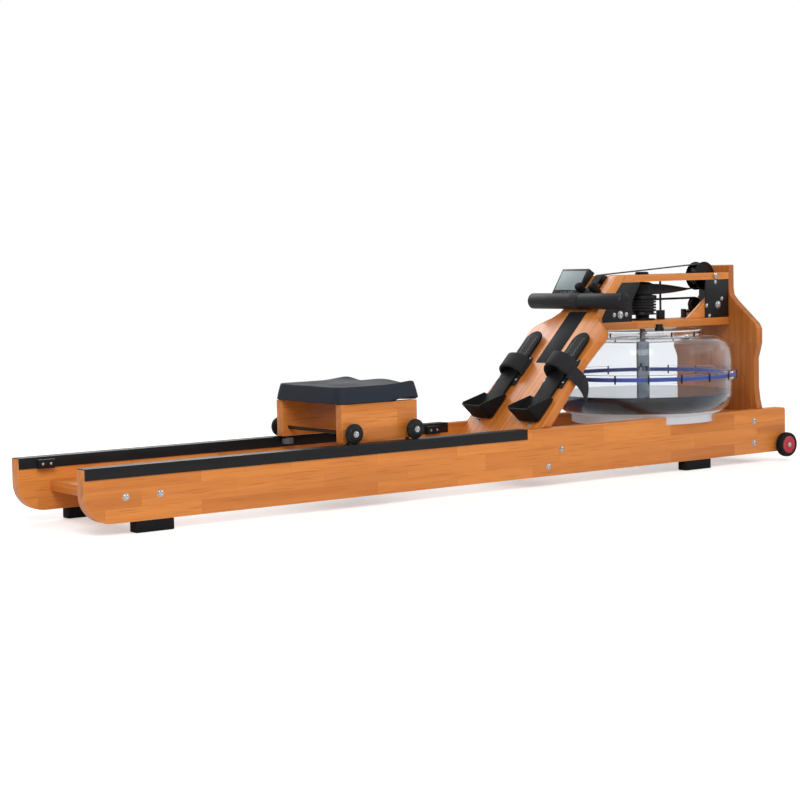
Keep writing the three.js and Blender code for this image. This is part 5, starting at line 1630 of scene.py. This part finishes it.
    def _wheelset(self, end: str) -> None:
        """Makes an axle with its two wheels, spacers and bolts.

        Args:
            end: "rear" or "front".
        """
        node = f"{end}_seat_wheels"
        body = NODE_BODY[node]
        low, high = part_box(node)
        radius, reach = (high.z - low.z) / 2, high.y - 0.004
        centre = in_plane(middle_of(node))
        inner, board = reach - self.wheel_width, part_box("left_seat_board")[1].y + 0.0015
        axle = self.bench.lathe(
            f"{end}_seat_axle", [(0.0, -inner), (0.004, -inner), (0.004, inner), (0.0, inner)], centre, "Y", 20)
        self.bench.finish(axle, Finish.BLACK_STEEL, body, "black_steel", [node])
        for side, way in SIDES.items():
            wheel = self.bench.lathe(f"{end}_{side}_seat_wheel", sided((
                (0.0042, board), (0.0085, board), (0.0085, inner), (radius - 0.006, inner),
                (radius - 0.005, inner + 0.0012), (radius - 0.0012, inner + 0.0008), (radius, inner + 0.002),
                (radius, reach - 0.0052), (radius - 0.001, reach - 0.0038), (radius - 0.004, reach - 0.003),
                (0.0165, reach - 0.0024), (0.0155, reach - 0.0012), (0.013, reach - 0.0002), (0.009, reach),
                (0.0, reach),
            ), way), centre, "Y", 48)
            self.bench.finish(wheel, Finish.BLACK_PLASTIC, body, "rubber")
            outer = centre + ACROSS * way * reach
            self.bench.bolts(f"{end}_{side}_wheel_bolt", [outer], ACROSS * way, 0.0056, body, 1.3)


class Studio:
    """The camera, the lights, the floor and the background."""

    LENS_PIXELS, PHOTO_WIDTH = 1907.985, 800
    YAW, PITCH, ROLL = 36.009, -4.172, -1.248
    PLACE = (-2.80635, -3.6935, 0.5549)
    LAMP_TARGET = Vector((0.0, 0.0, 0.2))
    FLOOR_RADIUS, FLOOR_HEIGHT = 3.4, -0.0004

    def build(self) -> None:
        """Sets up the studio."""
        self._camera()
        self._world()
        self._floor()
        self._lamp("key", (-2.6, -3.2, 3.4), 2.6, 125.0)
        self._lamp("fill", (2.8, -2.6, 2.6), 3.0, 38.0)
        self._lamp("back", (0.8, 3.4, 2.8), 2.6, 85.0)
        bpy.context.scene.view_settings.view_transform = "Standard"

    def _camera(self) -> None:
        """Sets the camera as the photograph's."""
        yaw, pitch, roll = (math.radians(value) for value in (self.YAW, self.PITCH, self.ROLL))
        right = Vector((math.cos(yaw), -math.sin(yaw), 0.0))
        ahead = Vector((math.sin(yaw) * math.cos(pitch), math.cos(yaw) * math.cos(pitch), math.sin(pitch)))
        up = right.cross(ahead)
        side = right * math.cos(roll) + up * math.sin(roll)
        crown = up * math.cos(roll) - right * math.sin(roll)
        data = bpy.data.cameras.new("camera")
        data.sensor_fit = "HORIZONTAL"
        data.sensor_width = 36.0
        data.lens = self.LENS_PIXELS / self.PHOTO_WIDTH * data.sensor_width
        camera = place_object("camera", data)
        turn = Matrix((side, crown, -ahead)).transposed().to_4x4()
        camera.matrix_world = Matrix.Translation(self.PLACE) @ turn
        bpy.context.scene.camera = camera

    def _world(self) -> None:
        """Makes a white surround that lights the object softly."""
        world = bpy.data.worlds.new("studio")
        bpy.context.scene.world = world
        world.use_nodes = True
        graph = Graph(world.node_tree)
        graph.fill(graph.find("BACKGROUND"), {
            "Color": (1.0, 1.0, 1.0), "Strength": graph.spread(graph.seen(), (0.46, 1.0))})

    def _floor(self) -> None:
        """Lays a plain pale floor that keeps the object's shadow."""
        bpy.ops.object.select_all(action="DESELECT")
        bpy.ops.mesh.primitive_circle_add(
            vertices=96, radius=self.FLOOR_RADIUS, fill_type="NGON", location=(0.0, 0.0, self.FLOOR_HEIGHT))
        floor = bpy.context.object
        floor.name = "studio_floor"
        material, graph, shader = start_material("studio_floor")
        reach = graph.add("VectorMath", {0: graph.own()}, operation="LENGTH").outputs["Value"]
        graph.fill(shader, {
            "Base Color": (0.82, 0.82, 0.82), "Roughness": 0.9, "Emission Color": (1.0, 1.0, 1.0),
            "Emission Strength": graph.math("MULTIPLY", graph.seen(), 0.42),
            "Alpha": graph.spread(reach, (1.0, 0.0), (1.5, 3.2), "SMOOTHSTEP")})
        floor.data.materials.append(material)

    def _lamp(self, name: str, place: Point, size: float, power: float) -> None:
        """Hangs a soft area lamp that faces the machine.

        Args:
            name: The lamp's name.
            place: Where it hangs.
            size: Its width, in metres.
            power: Its power, in watts.
        """
        data = bpy.data.lights.new(name, "AREA")
        data.size = size
        data.energy = power
        lamp = place_object(name, data)
        way = self.LAMP_TARGET - Vector(place)
        lamp.matrix_world = Matrix.Translation(place) @ way.to_track_quat("-Z", "Y").to_matrix().to_4x4()


def main() -> None:
    """Builds the studio and every sub-assembly."""
    logging.basicConfig(level=logging.INFO, format="%(name)s %(message)s")
    Studio().build()
    bench = Bench(Wardrobe())
    for part in (
        Timber(bench), RunningGear(bench), Tank(bench), Drive(bench), Handle(bench), Console(bench),
        Footrests(bench), Seat(bench),
    ):
        LOG.info("building %s", type(part).__name__)
        part.build()
    LOG.info("%d pieces", bench.count)


if __name__ == "__main__":
    main()
